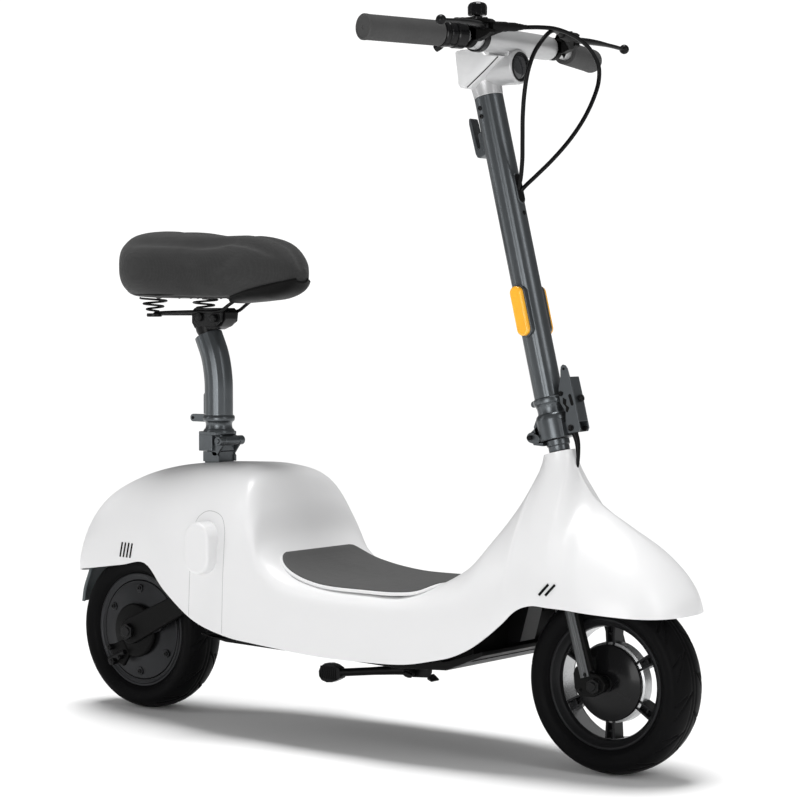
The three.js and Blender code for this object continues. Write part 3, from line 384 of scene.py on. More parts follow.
def catmull_rom(points, per_span):
    """A smooth line through the points, as three.js draws it (centripetal), per_span a span."""
    points = [Vector(p) for p in points]
    ends = [2 * points[0] - points[1], *points, 2 * points[-1] - points[-2]]
    line = []
    for p0, p1, p2, p3 in zip(ends, ends[1:], ends[2:], ends[3:]):
        d0 = max(1e-6, (p1 - p0).length ** 0.5)
        d1 = max(1e-6, (p2 - p1).length ** 0.5)
        d2 = max(1e-6, (p3 - p2).length ** 0.5)
        t1 = ((p1 - p0) / d0 - (p2 - p0) / (d0 + d1) + (p2 - p1) / d1) * d1
        t2 = ((p2 - p1) / d1 - (p3 - p1) / (d1 + d2) + (p3 - p2) / d2) * d1
        for step in range(per_span):
            t = step / per_span
            line.append(p1 + t1 * t + (-3 * p1 + 3 * p2 - 2 * t1 - t2) * t ** 2
                + (2 * p1 - 2 * p2 + t1 + t2) * t ** 3)
    return [*line, points[-1]]


class Shape:
    """The faces of one piece, gathered from turned, extruded and swept parts."""

    def __init__(self):
        self.points = []
        self.faces = []

    def add(self, points, faces):
        base = len(self.points)
        self.points += points
        self.faces += [[base + i for i in face] for face in faces]
        return self

    def rings(self, rings, closed):
        """Skins rings of equally many points; an open row of rings is capped at both ends."""
        count, total = len(rings[0]), len(rings)
        faces = []
        for i in range(total if closed else total - 1):
            for j in range(count):
                near, far = i * count, ((i + 1) % total) * count
                k = (j + 1) % count
                faces.append((near + j, near + k, far + k, far + j))
        if not closed:
            faces.append(tuple(range(count)))
            faces.append(tuple(range((total - 1) * count, total * count)))
        return self.add([p for ring in rings for p in ring], faces)

    def sheet(self, rows, hand=1):
        """Skins rows of equally many points, open all round."""
        width = len(rows[0])
        faces = []
        for i in range(len(rows) - 1):
            for j in range(width - 1):
                a = i * width + j
                faces.append((a, a + 1, a + width + 1, a + width)[::hand])
        return self.add([p for row in rows for p in row], faces)

    def lathe(self, profile, place, segments=64):
        """Turns a closed profile of (radius, height) round place's axis."""
        rings = []
        for k in range(segments):
            turn = 2 * math.pi * k / segments
            rings.append([place(r * math.cos(turn), r * math.sin(turn), h) for r, h in profile])
        return self.rings(rings, closed=True)

    def prism(self, outline, low, high, place):
        return self.rings([[place(a, b, h) for a, b in outline] for h in (low, high)], closed=False)

    def tube(self, path, radius, sides=12, section=None):
        """A round bar along a path; radius may be a function of the share of the path.
        section, a function of the angle, scales the radius for ribbed tubes."""
        tangents = []
        for i in range(len(path)):
            tangents.append((path[min(i + 1, len(path) - 1)] - path[max(i - 1, 0)]).normalized())
        across = tangents[0].cross(Vector((0, 1, 0)))
        if across.length < 0.1:
            across = tangents[0].cross(Vector((0, 0, 1)))
        across.normalize()
        rings = []
        for i, (point, tangent) in enumerate(zip(path, tangents)):
            across = (across - tangent * across.dot(tangent)).normalized()
            other = tangent.cross(across)
            share = i / (len(path) - 1)
            size = (radius(share) if callable(radius) else radius) * MM
            ring = []
            for j in range(sides):
                turn = 2 * math.pi * j / sides
                reach = size * (section(turn) if section else 1)
                ring.append(point + (across * math.cos(turn) + other * math.sin(turn)) * reach)
            rings.append(ring)
        return self.rings(rings, closed=False)

    def ball(self, centre, radius, segments=24):
        turns = [math.pi * (k / 12 - 0.5) for k in range(13)]
        profile = [(math.cos(t) * radius, math.sin(t) * radius) for t in turns]
        return self.lathe(profile, lambda a, b, h: centre + Vector((a, b, h)) * MM, segments)

    def make(self, name, look, body, replaces=(), bevel=0.0, segments=2, angle=34, slot=None):
        """The gathered faces as one piece that rides on body."""
        mesh = bpy.data.meshes.new(name)
        bm = bmesh.new()
        corners = [bm.verts.new(p) for p in self.points]
        for face in self.faces:
            bm.faces.new([corners[i] for i in face])
        bmesh.ops.remove_doubles(bm, verts=bm.verts, dist=1e-6)
        loose = [e for e in bm.edges if not e.link_faces]
        bmesh.ops.delete(bm, geom=loose, context="EDGES")
        bmesh.ops.recalc_face_normals(bm, faces=bm.faces)
        bm.to_mesh(mesh)
        bm.free()
        mesh.materials.append(look.material)
        mesh.shade_smooth()
        mesh.set_sharp_from_angle(angle=math.radians(angle))
        piece = put(name, mesh)
        if bevel:
            round_edges(piece, bevel, segments, angle)
        return settle(piece, body, replaces)


def round_edges(piece, width, segments=2, angle=34):
    bevel = piece.modifiers.new("round_edges", "BEVEL")
    bevel.width = width * MM
    bevel.segments = segments
    bevel.limit_method = "ANGLE"
    bevel.angle_limit = math.radians(angle)
    bevel.harden_normals = True


def thicken(piece, thickness, offset=-1):
    wall = piece.modifiers.new("thickness", "SOLIDIFY")
    wall.thickness = thickness * MM
    wall.offset = offset


def settle(piece, body, replaces=()):
    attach(piece, body)
    if replaces:
        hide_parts(*replaces)
    return piece


def dress(node, look, bevel=0.8, angle=38):
    """Gives a CAD node its material and soft edges."""
    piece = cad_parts[node]
    piece.data.materials.clear()
    piece.data.materials.append(look.material)
    if "custom_normal" in piece.data.attributes:
        piece.data.attributes.remove(piece.data.attributes["custom_normal"])
    piece.data.shade_smooth()
    weld = piece.modifiers.new("weld", "WELD")
    weld.merge_threshold = 0.00001
    round_edges(piece, bevel, 2, angle)


def link_outline(first, second, steps=14):
    """The outline round two circles, each (a, b, radius)."""
    (x0, z0, r0), (x1, z1, r1) = first, second
    line = math.atan2(z1 - z0, x1 - x0)
    lean = math.acos((r0 - r1) / math.hypot(x1 - x0, z1 - z0))
    outline = []
    for i in range(steps + 1):
        turn = line + lean + 2 * (math.pi - lean) * i / steps
        outline.append((x0 + r0 * math.cos(turn), z0 + r0 * math.sin(turn)))
    for i in range(steps + 1):
        turn = line - lean + 2 * lean * i / steps
        outline.append((x1 + r1 * math.cos(turn), z1 + r1 * math.sin(turn)))
    return outline


def washer(outer, inner, low, high, round_by=0.6):
    """A turned ring's profile with rounded outer corners."""
    return [(inner, low), (outer - round_by, low), (outer, low + round_by),
        (outer, high - round_by), (outer - round_by, high), (inner, high)]


def stud(radius, base, shoulder, tip, hand):
    """A bolt head's profile, from base out to its tip on one hand's side."""
    return [(0, hand * tip), (radius * 0.5, hand * tip), (radius * 0.6, hand * shoulder),
        (radius, hand * shoulder), (radius, hand * base), (0, hand * base)]


def socket_head(radius, height, socket):
    """A socket screw head's profile."""
    return [(0, 0), (radius, 0), (radius, height - 0.6), (radius - 0.6, height), (socket, height),
        (socket - 0.2, 0.8), (0, 0.8)]


def plug(radius, low, high):
    """A plain turned pin's profile."""
    return [(0, low), (radius, low), (radius, high), (0, high)]


def both(half):
    """A profile that is the same on both sides of its middle, from one side's (radius, h)."""
    return half + [(r, -h) for r, h in reversed(half)]


# ---- Body shell ------------------------------------------------------------------------------
# Stations of half a rib: [edge x, half width, edge z], crown (x, z) or the neck ring, lean, rise.
RIBS = [((-106, 54, 221), (-126, 216), 0.9, 0.9), ((-88, 66, 224), (-114, 256), 0.75, 0.75),
    ((-60, 77, 227.5), (-89, 306), 0.68, 0.68), ((-22, 89, 233), (-45, 349), 0.66, 0.66),
    ((28, 98, 240), (20, 379), 0.66, 0.66), ((88, 107, 247.5), (82, 395), 0.66, 0.66),
    ((140, 118, 210), (140, 402), 0.66, 0.66), ((210, 126, 169), (206, 405), 0.64, 0.64),
    ((285, 132, 151), (262, 404), 0.58, 0.58), ((330, 134, 147), (296, 393), 0.5, 0.5),
    ((360, 135, 145), (317, 352), 0.42, 0.42), ((395, 137, 143), (336, 296), 0.36, 0.36),
    ((428, 138, 141), (378, 258), 0.3, 0.3), ((470, 138, 139), (450, 241.5), 0.25, 0.25),
    ((550, 138, 139), (545, 238), 0.24, 0.24), ((625, 135, 142), (615, 240.5), 0.27, 0.27),
    ((668, 130, 150), (655, 258), 0.45, 0.42), ((700, 127, 158), (692, 289), 0.85, 0.58),
    ((730, 123, 172), (723, 335), 1.15, 0.72), ((757, 120, 191), (750, 382), 1.55, 0.9),
    ((780, 116, 211), "rear of neck", 2.2, 0.95), ((800, 112, 230), "side of neck", 3.2, 0.93),
    ((824, 110, 238), "side of neck", 3.8, 0.9), ((850, 108, 237), "front of neck", 3.1, 0.9),
    ((876, 106, 236), (834, 409), 2.8, 0.9), ((905, 103, 233.5), (860, 377), 1.9, 0.9),
    ((938, 95, 231), (900, 351), 1.6, 0.95), ((970, 83, 229), (943, 323), 1.25, 0.93),
    ((994, 62, 228), (981, 287), 1, 0.9), ((1005, 38, 227.5), (1005, 252), 0.9, 0.9),
    ((1007, 26, 227.3), (1011, 228), 0.9, 0.9)]
NECK_REAR = [rib[1] for rib in RIBS].index("rear of neck")
NECK_FRONT = [rib[1] for rib in RIBS].index("front of neck")
ROWS_PER_RIB = 6
COLUMNS = 44
FINE = 400


def crown_line():
    """The body's middle line, split round the ring at the neck, a point for each row."""
    rear = [at(rib[1][0], 0, rib[1][1]) for rib in RIBS[:NECK_REAR]]
    front = [at(rib[1][0], 0, rib[1][1]) for rib in RIBS[NECK_FRONT + 1:]]
    crown = catmull_rom([*rear, up_stem(-NECK_RADIUS, 0, 0)], ROWS_PER_RIB)
    steps = (NECK_FRONT - NECK_REAR) * ROWS_PER_RIB
    for step in range(1, steps):
        turn = math.pi * (1 - step / steps)
        crown.append(up_stem(NECK_RADIUS * math.cos(turn), NECK_RADIUS * math.sin(turn), 0))
    return crown + catmull_rom([up_stem(NECK_RADIUS, 0, 0), *front], ROWS_PER_RIB)


def even_row(edge, crown, lean, rise):
    """One rib from the lower edge to the crown, its points evenly spaced along it."""
    line = []
    for step in range(FINE + 1):
        turn = math.pi / 2 * step / FINE
        across = max(0.0, math.cos(turn)) ** lean if step < FINE else 0.0
        up = math.sin(turn) ** rise
        line.append(Vector((edge.x + (crown.x - edge.x) * up, crown.y + (edge.y - crown.y) * across,
            edge.z + (crown.z - edge.z) * up)))
    reach = [0.0]
    for a, b in zip(line, line[1:]):
        reach.append(reach[-1] + (b - a).length)
    row = []
    k = 0
    for column in range(COLUMNS + 1):
        wanted = reach[-1] * column / COLUMNS
        while k < FINE - 1 and reach[k + 1] < wanted:
            k += 1
        share = (wanted - reach[k]) / max(1e-9, reach[k + 1] - reach[k])
        row.append(line[k].lerp(line[k + 1], min(1, max(0, share))))
    return row


def body_rows():
    edges = catmull_rom([at(*rib[0]) for rib in RIBS], ROWS_PER_RIB)
    squares = catmull_rom([Vector((rib[2], rib[3], 0)) for rib in RIBS], ROWS_PER_RIB)
    rows = []
    for edge, crown, square in zip(edges, crown_line(), squares):
        rows.append(even_row(edge, crown, square.x, square.y))
    return rows


def build_body():
    rows = body_rows()
    shape = Shape()
    for hand in (-1, 1):
        shape.sheet([[Vector((p.x, hand * p.y, p.z)) for p in row] for row in rows], hand)
    piece = shape.make("body_shell_skin", WHITE, "chassis", ["body_shell"], angle=60)
    cut_seat_hole(piece)
    thicken(piece, 3)
    round_edges(piece, 1.2, 3, 50)
    bm = bmesh.new()
    bm.from_mesh(piece.data)
    tree = BVHTree.FromBMesh(bm)
    bm.free()
    return tree


def cut_seat_hole(piece):
    """Opens the top of the seat housing for the seat mast."""
    bm = bmesh.new()
    bm.from_mesh(piece.data)
    middle = at(SEAT_POST_X, 0, 402)
    hole = [f for f in bm.faces if (f.calc_center_median() - middle).length < 0.05
        and abs(f.calc_center_median().x - middle.x) < 0.018
        and abs(f.calc_center_median().y) < 0.019]
    bmesh.ops.delete(bm, geom=hole, context="FACES")
    bm.to_mesh(piece.data)
    bm.free()


def touch(tree, x, z, hand, lift=0.0):
    """The point of the body's flank at (x, z), lifted off it by lift millimetres."""
    start = at(x, hand * 400, z)
    hit, normal, _, _ = tree.ray_cast(start, Vector((0, -hand, 0)))
    if hit is None:
        return None
    if normal.y * hand < 0:
        normal = -normal
    return hit + normal * lift * MM


def fine_line(tree, points, hand, radius, per_span=6):
    """A thin raised or shadow line laid on the body's flank along (x, z) points."""
    path = catmull_rom([(x, 0, z) for x, z in points], per_span)
    spots = [touch(tree, p.x, p.z, hand, -radius * 0.55) for p in path]
    return Shape().tube([s for s in spots if s], radius, 8)


PANEL_LINE = [(199, 176), (201, 230), (203, 300), (208, 324), (222, 335), (240, 337), (262, 330),
    (272, 314), (275, 290), (275, 230), (273, 156)]


def body_details(tree):
    for hand, word in SIDES:
        fine_line(tree, PANEL_LINE, hand, 0.5).make(f"panel_line_{word}", SEAM, "chassis")
        slashes = Shape()
        for x, pitch, count, z, run, rise, radius in ((26, 8.4, 4, 253, 6, 23, 1.5),
                (837, 10, 2, 254, 13, 15, 1.9)):
            for k in range(count):
                line = [touch(tree, x + pitch * k + t * run, z + t * rise, hand, 0.15)
                    for t in (0, 0.5, 1)]
                slashes.tube(line, radius, 8)
        slashes.make(f"vent_slashes_{word}", BLACK, "chassis")
        boss = link_outline((235, 268, 25), (235, 297, 25), 20)
        Shape().prism(boss, *span(hand, 108, 148), side).make(f"side_boss_{word}_cap", WHITE,
            "chassis", [f"side_boss_{word}"], bevel=5, segments=5)


# ---- Deck mat --------------------------------------------------------------------------------
MAT_PROFILE = [(352, 280.5), (364, 270.5), (380, 261.5), (404, 253.5), (432, 247.5), (470, 243),
    (535, 242.2), (600, 243), (630, 247), (651, 257)]
MAT_EDGE = [(352, 74), (356, 86), (366, 96), (400, 108), (445, 116), (500, 119), (590, 118.5),
    (622, 113), (642, 101), (651, 88)]
MAT_ROWS = 120
MAT_COLUMNS = 64


def at_share(points, x):
    """The second number of a broken line at x."""
    for (x0, v0), (x1, v1) in zip(points, points[1:]):
        if x <= x1:
            return v0 + (v1 - v0) * max(0, (x - x0) / (x1 - x0))
    return points[-1][1]


def build_mat():
    profile = [(p.x, p.z) for p in catmull_rom([(x, 0, z) for x, z in MAT_PROFILE], 12)]
    edge = [(p.x, p.z) for p in catmull_rom([(x, 0, y) for x, y in MAT_EDGE], 12)]
    x0, x1 = MAT_PROFILE[0][0], MAT_PROFILE[-1][0]
    rows = []
    for i in range(MAT_ROWS + 1):
        x = x0 + (x1 - x0) * i / MAT_ROWS
        z, half = at_share(profile, x), at_share(edge, x)
        row = []
        for j in range(MAT_COLUMNS + 1):
            y = half * (2 * j / MAT_COLUMNS - 1)
            inset = min(half - abs(y), x - x0, x1 - x)
            rib = 0.32 * math.sin(inset * 2 * math.pi / 6.5) if 7 < inset < 62 else 0
            corner = -1.3 * max(0, 1 - inset / 1.6)
            row.append(at(x, y, z + rib + corner))
        rows.append(row)
    piece = Shape().sheet(rows).make("deck_mat_ribbed", MAT_GREY, "chassis", ["deck_mat"], angle=60)
    if piece.data.polygons[0].normal.z < 0:
        piece.data.flip_normals()
    thicken(piece, 8)
    rim = rows[0][::2] + [row[-1] for row in rows[1::2]]
    rim += rows[-1][::-2] + [row[0] for row in rows[-2::-2]]
    drop = Vector((0, 0, -3.4 * MM))
    centre = at(500, 0, 245)
    spots = [p + drop + Vector((p.x - centre.x, p.y, 0)).normalized() * 1.6 * MM for p in rim]
    Shape().tube([*spots, spots[0]], 2.6, 10).make("deck_mat_lip", WHITE, "chassis")


# ---- Underside and rear ----------------------------------------------------------------------

def build_underside():
    for node, look, bevel in (("main_frame", BLACK_METAL, 1.5), ("belly_pan", BLACK, 2),
            ("battery_pack", BLACK, 2), ("motor_controller", RIM, 1.5),
            ("kickstand_bracket", BLACK_METAL, 0.8), ("swingarm_pivot_bolt", BLACK_METAL, 0.6),
            ("headset_bearing_upper", STEEL, 0.4), ("headset_bearing_lower", STEEL, 0.4),
            ("tail_light", RED, 1.2), ("seat_hinge_pin", STEM_GREY, 0.5)):
        dress(node, look, bevel)
    walls = Shape().prism([(715, 150), (721, 151), (721, 206), (715, 206)], -101, 101, side)
    for hand in (-1, 1):
        walls.prism([(600, 134), (680, 138), (718, 151), (718, 206), (600, 214)],
            *span(hand, 97, 101), side)
    walls.make("belly_walls", BLACK, "chassis", bevel=1)
    build_flap()


def build_flap():
    """A soft flap that follows the wheel, its edges folded forward."""
    line = catmull_rom([(-111, 0, 226), (-119, 0, 208), (-128, 0, 186), (-132, 0, 164)], 6)
    across = [(-31, 9), (-30, 3), (-27, 0.6), (-20, 0), (-9, -0.6), (0, -1.6), (9, -0.6), (20, 0),
        (27, 0.6), (30, 3), (31, 9)]
    rows = [[at(p.x + deep, y, p.z) for y, deep in across] for p in line]
    piece = Shape().sheet(rows).make("mud_flap_skin", FLAP, "chassis", ["mud_flap"], angle=40)
    thicken(piece, 2.5, 0)
    round_edges(piece, 0.6)


# ---- Wheels ----------------------------------------------------------------------------------
TYRE_ROWS = 540
TYRE_OUTER = [(91, 25.5), (94, 29), (98, 33), (104, 36), (110, 37), (116, 35.4), (121, 30),
    (125, 20.5), (127.1, 10), (127.5, 0)]


def tread_depth(turn, y, radius):
    """How far the tread is cut in, in millimetres, at an angle round the wheel and across it."""
    if radius < 112:
        return 0.7 if abs(radius - 100.8) < 0.5 else 0
    depth = 0.0
    lanes = 14
    groove = 2.1
    share = abs(y) / 36
    shift = 0.5 if y > 0 else 0.0
    arc = turn * lanes / (2 * math.pi) + shift
    for reach, start, stop in ((0.95, 0.1, 0.86), (0.42, 0.42, 0.93)):
        place = arc + reach * (share ** 1.6)
        off = abs(place - round(place)) * 2 * math.pi * 125 / lanes
        if off < groove and start < share < stop:
            depth = max(depth, 2.2 * (1 - (off / groove) ** 2))
    centre = abs(abs(y) - 4.2)
    if centre < 1.0:
        depth = max(depth, 0.9 * (1 - centre ** 2))
    return depth


def build_tyre(name, x, body):
    half = catmull_rom([(r, 0, y) for r, y in TYRE_OUTER], 5)
    section = [(p.x, -p.z) for p in half] + [(p.x, p.z) for p in reversed(half[:-1])]
    inner = [(98, 27), (110, 27), (118, 14), (119, 0), (118, -14), (110, -27), (98, -27)]
    place = cross_at(x, AXLE_Z)
    rings = []
    for k in range(TYRE_ROWS):
        turn = 2 * math.pi * k / TYRE_ROWS
        ring = []
        for r, y in section:
            r_cut = r - tread_depth(turn, y, r)
            ring.append(place(r_cut * math.cos(turn), r_cut * math.sin(turn), y))
        for r, y in inner:
            ring.append(place(r * math.cos(turn), r * math.sin(turn), y))
        rings.append(ring)
    Shape().rings(rings, closed=True).make(f"{name}_treaded", TYRE, body, [name], angle=50)


def build_front_wheel():
    place = cross_at(WHEELBASE, AXLE_Z)
    barrel = both([(84, 8), (86, 12), (90, 20), (92, 26), (90.5, 27.5), (88, 27.5), (86.5, 26),
        (84.5, 22.5), (79.5, 19), (78, 15)])
    rim = Shape().lathe(barrel, place, 128)
    rim.lathe([(50, -11), (52, 10), (48, 17), (40, 18.5), (9, 19), (9, 8), (40, 8), (46, 4),
        (46, -11)], place, 96)
    for k in range(SPOKES):
        spoke = turned(place, 2 * math.pi * k / SPOKES + math.pi / 2)
        for edge in (-1, 1):
            rim.prism([(49, edge * 6.6), (82, edge * 8.4), (82, edge * 5), (49, edge * 3.4)], -13,
                10, spoke)
        rim.prism([(49, -4), (82, -6), (82, 6), (49, 4)], -3, 8, spoke)
        rim.prism([(66, -5), (69, -5), (69, 5), (66, 5)], -9, -3, spoke)
    rim.make("front_rim_cast", RIM, "front_wheel", ["front_rim"], bevel=0.7)
    bright = Shape().lathe([(78.1, -13.5), (77.7, -13.5), (77.7, 13.5), (78.1, 13.5)], place, 128)
    bright.lathe([(52.6, -11.5), (56, -10.5), (56.6, 6), (54, 9), (52.6, 9)], place, 96)
    bright.make("front_rim_machined_band", MACHINED, "front_wheel")
    drum = Shape().lathe([(9, -25.6), (22, -25), (34, -23.2), (44, -20.6), (50, -18.2),
        (52.4, -17.4), (53.2, -16), (52.6, -14), (9, -14)], place, 128)
    drum.make("brake_drum_cover", GLOSS_BLACK, "fork", ["brake_plate"], bevel=0.5)
    ring = Shape()
    ring.lathe([(10.5, -28.4), (12, -28), (12, -25), (9.4, -25), (9.4, -28)], place, 48)
    ring.lathe([(7, -42), (9, -41), (9, -25), (7, -25)], place, 48)
    ring.make("front_axle_spacer", BLACK_METAL, "fork", slot="rim_alloy", bevel=0.3)


def build_rear_wheel():
    place = cross_at(0, AXLE_Z)
    rim = Shape().lathe([(92, -26), (90.5, -27.6), (88, -27.6), (86, -26), (83, -25.4),
        (80.6, -25.2), (80.3, -22), (80.3, 20), (60, 22), (14.5, 26), (14.5, 30), (60, 27),
        (84, 26), (88, 27.6), (90.5, 27.6), (92, 26), (88, 19), (85, 8), (85, -8), (88, -19)],
        place, 128)
    rim.make("rear_rim_cast", MOTOR, "rear_wheel", ["rear_rim"], bevel=0.4)
    cover = Shape().lathe([(79.8, -20), (79.8, -25), (78.8, -26), (75, -26.2), (60, -28.2),
        (46, -30.8), (30, -32.4), (14.5, -33), (14.5, -28), (50, -23), (74, -20)], place, 128)
    screws = Shape()
    for k in range(6):
        turn = math.pi / 3 * (k + 0.5)
        cover.prism([(60, -3), (66, -6.6), (72, -5), (74, 0), (72, 5), (66, 6.6), (60, 3)], -29.4,
            -25, turned(place, turn))
        x, z = 67.5 * math.cos(turn), 67.5 * math.sin(turn)
        screws.lathe([(0, -29.6), (1.6, -29.6), (1.8, -31), (3.4, -31), (3.7, -30.4), (3.7, -28.6),
            (0, -28.6)], cross_at(x, AXLE_Z + z), 20)
    cover.make("motor_cover_disc", MOTOR, "rear_wheel", ["motor_cover"], bevel=0.7)
    screws.make("motor_cover_screws", BLACK_METAL, "rear_wheel")


def build_swingarm():
    place = cross_at(0, AXLE_Z)
    pivot = (SWINGARM_PIVOT[0], SWINGARM_PIVOT[1] - AXLE_Z)
    for hand, word in SIDES:
        outline = link_outline((0, 0, 21), (*pivot, 15), 20)
        arm = Shape().prism(outline, *span(hand, 41, 53), place)
        if hand < 0:
            arm.lathe([(0, -43.5), (40, -43.5), (43, -42), (44, -36), (0, -36)], place, 72)
            arm.prism([(-52, -28), (-44, -52), (-22, -60), (-8, -38), (-22, -16)], -45, -37, place)
        arm.make(f"swingarm_{word}_casting", BLACK, "swingarm", ["swingarm"] if hand < 0 else (),
            bevel=3, segments=4, slot="frame_aluminium")
    tube = Shape().lathe(washer(12, 5.3, -45, 45, 1), cross_at(*SWINGARM_PIVOT), 32)
    tube.make("swingarm_cross_tube", BLACK_METAL, "swingarm", slot="frame_aluminium")
    fixings = Shape()
    for x, z, r in ((-46, -30, 5), (-40, -52, 6), (-24, -44, 4)):
        fixings.lathe(stud(r, 44, 54.5, 56, -1), cross_at(x, AXLE_Z + z), 24)
    fixings.make("torque_arm_fixings", BLACK_METAL, "swingarm", bevel=0.4)
    bar = Shape().tube([place(-48, -50, -49), place(-30, -42, -50), place(-14, -35, -49)], 4.2, 14)
    bar.make("torque_arm_bar", BLACK_METAL, "swingarm")
    clip = Shape().prism([(40, 18), (66, 26), (70, 16), (64, 6), (46, 0), (38, 8)], -47, -40, place)
    for x, z in ((47, 9), (61, 16)):
        clip.lathe([(0, -51), (2, -51), (3.6, -50), (3.6, -46), (0, -46)], cross_at(x, AXLE_Z + z),
            20)
    clip.make("motor_lead_clip", RIM, "swingarm", bevel=0.8)
    dress("rear_axle", BLACK_METAL, 0.6)
    dress("motor_stator", MACHINED, 0.8)


def build_fork():
    for hand, word in SIDES:
        top, low = at(843, hand * 47, 244), at(874, hand * 47, 138)
        forward = (low - top).normalized().cross(Vector((0, -1, 0))).normalized()
        outline = [(-7.5, -5.5), (-7.5, 5.5), (-5, 6), (-3.2, 4.6), (-1, 4.6), (0.8, 6), (3.4, 6),
            (5, 4.8), (7.5, 4.2), (7.5, -5.5)]
        rings = []
        for end in (top, low):
            rings.append([end + (forward * a + Vector((0, hand * b, 0))) * MM for a, b in outline])
        leg = Shape().rings(rings, closed=False)
        leg.make(f"fork_leg_{word}_extrusion", FORK_GREY, "fork", [f"fork_leg_{word}"], bevel=0.4)
        outline = [(-11, -7), (-11, 2), (-8, 4), (8, 3.4), (12, 1), (12, -7)]
        rings = []
        for end in (top, low + Vector((0, 0, 6 * MM))):
            rings.append([end + (forward * a + Vector((0, hand * b, 0))) * MM for a, b in outline])
        backing = Shape().rings(rings, closed=False)
        backing.make(f"fork_leg_{word}_cover", BLACK, "fork", slot="fork_paint", bevel=0.8)
        plate = Shape().prism([(-36, 14), (-34, -6), (-26, -17), (-4, -16), (14, -7), (16, 4),
            (6, 15), (-8, 17), (-14, 24), (-32, 24)], *span(hand, 41.5, 50.5),
            cross_at(WHEELBASE, AXLE_Z))
        plate.make(f"fork_dropout_{word}", BLACK, "fork", slot="fork_paint", bevel=1.6, segments=3)
        bolts = Shape()
        for x, z, r in ((-16, 14, 3.2), (-25, -8, 2.6)):
            bolts.lathe(stud(r, 50, 52.4, 53.6, hand), cross_at(WHEELBASE + x, AXLE_Z + z), 20)
        bolts.make(f"fork_dropout_bolts_{word}", BLACK_METAL, "fork")
    dress("front_axle", BLACK_METAL, 0.8)
    dress("fork_crown", BLACK_METAL, 1.5)


# ---- Stem ------------------------------------------------------------------------------------
# Heights are along the steering axis from the neck; grooves are (degrees, half width, depth).
STEM_TOP = 518
STEM_GROOVES = [(62, 7, 0.016), (118, 7, 0.016), (0, 12, 0.01), (90, 16, 0.012)]
POST_FLUTES = [(place, 10, 0.014) for place in (40, 62, 118, 140)]


def fluted(grooves):
    """A tube's section with soft grooves on both flanks, each (degrees, half width, depth)."""
    def section(turn):
        depth = 0.0
        for place, wide, deep in grooves:
            for sign in (-1, 1):
                off = abs((math.degrees(turn) - sign * place + 180) % 360 - 180)
                depth = max(depth, deep * max(0.0, 1 - (off / wide) ** 2))
        return 1 - depth
    return section


def build_stem():
    tube = Shape()
    tube.tube([up_stem(0, 0, w) for w in (66, 69, 80, 200, 350, 480, STEM_TOP)], STEM_RADIUS, 120,
        fluted(STEM_GROOVES))
    tube.make("stem_extrusion", STEM_GREY, "stem", ["stem_tube"], angle=40)
    tube = Shape()
    tube.lathe([(0, 52), (20.6, 52), (20.2, 55), (19.8, 60), (20.2, 66), (21.5, 68.6), (23.2, 70.2),
        (23.9, 73.5), (23.2, 76.8), (21.4, 78.4), (19, 79), (0, 79)], up_stem, 96)
    tube.lathe([(0, 18.6), (23.9, 18.6), (24.8, 19.6), (24.8, 46), (24.4, 50), (23, 53.4),
        (20.6, 55.6), (0, 55.6)], up_stem, 96)
    tube.make("stem_collar", STEM_GREY, "stem", angle=32)
    tube = Shape()
    tube.prism([(-24, 18.6), (-14, 18.6), (-14, 50), (-20, 50), (-25.6, 42)], -15, 15, stem_side)
    tube.prism([(6, 18.6), (24, 18.6), (24, 44), (6, 50)], -17, 17, stem_side)
    tube.prism(link_outline((*FOLD_PIN, 7.5), (-16, 34, 9)), -15, 15, stem_side)
    for hand in (-1, 1):
        tube.prism(link_outline((*LATCH_PIN, 5), (20, 32, 8)), *span(hand, 3.5, 9), stem_side)
    tube.prism(link_outline((-24.5, 74, 4.6), (-18, 74, 5)), -6, 6, stem_side)
    tube.make("stem_collar_lugs", STEM_GREY, "stem", bevel=0.7, angle=40)
    eye = Shape().lathe(washer(4.2, 1.6, -16.4, -15.2, 0.3), stem_cross(*FOLD_PIN), 32)
    eye.make("fold_hinge_washer", STEEL, "stem")
    base = Shape().lathe([(0, 1), (14.6, 1), (15, 2), (15, 9), (16.6, 10), (16.6, 17.6), (0, 17.6)],
        up_stem, 64)
    for hand in (-1, 1):
        base.prism(link_outline((*FOLD_PIN, 7.2), (-24, 24, 7)), *span(hand, 15.4, 19), stem_side)
    base.prism([(-30, 17), (-14, 12), (-14, 17.6), (-24, 18), (-30, 19.6)], -18, 18, stem_side)
    base.make("stem_foot", STEM_GREY, "fork", ["stem_base"], bevel=0.6)
    dress("fold_hinge_pin", BLACK_METAL, 0.6)
    build_slot()
    build_screws()
    build_latch()
    build_reflectors()
    build_hook()


def build_slot():
    """The rubber grommet that the brake cables enter, with a small plug under it."""
    bezel = Shape().prism(link_outline((364, 0, 8.6), (392, 0, 8.6), 20), 19.4, 21.6, stem_ahead(0))
    bezel.make("cable_grommet_rim", STEM_GREY, "stem", bevel=0.8, segments=3)
    inner = Shape().prism(link_outline((364, 0, 6.6), (392, 0, 6.6), 20), 19.6, 22.2, stem_ahead(0))
    inner.lathe([(0, 19.4), (3.4, 19.4), (3.4, 21.2), (2.6, 21.6), (0, 21.6)], stem_ahead(342), 24)
    inner.make("cable_grommet", BLACK, "stem", bevel=0.5)


def build_screws():
    """The hex screws that hold the head, two on each side of the stem."""
    screws = Shape()
    for w in (490, 502):
        for hand in (-1, 1):
            place = along(up_stem(-5, hand * 19.4, w), up_stem(-6.5, hand * 26, w))
            screws.lathe(socket_head(3.4, 2.2, 1.6), place, 24)
    screws.make("head_clamp_screws", BLACK_METAL, "stem")


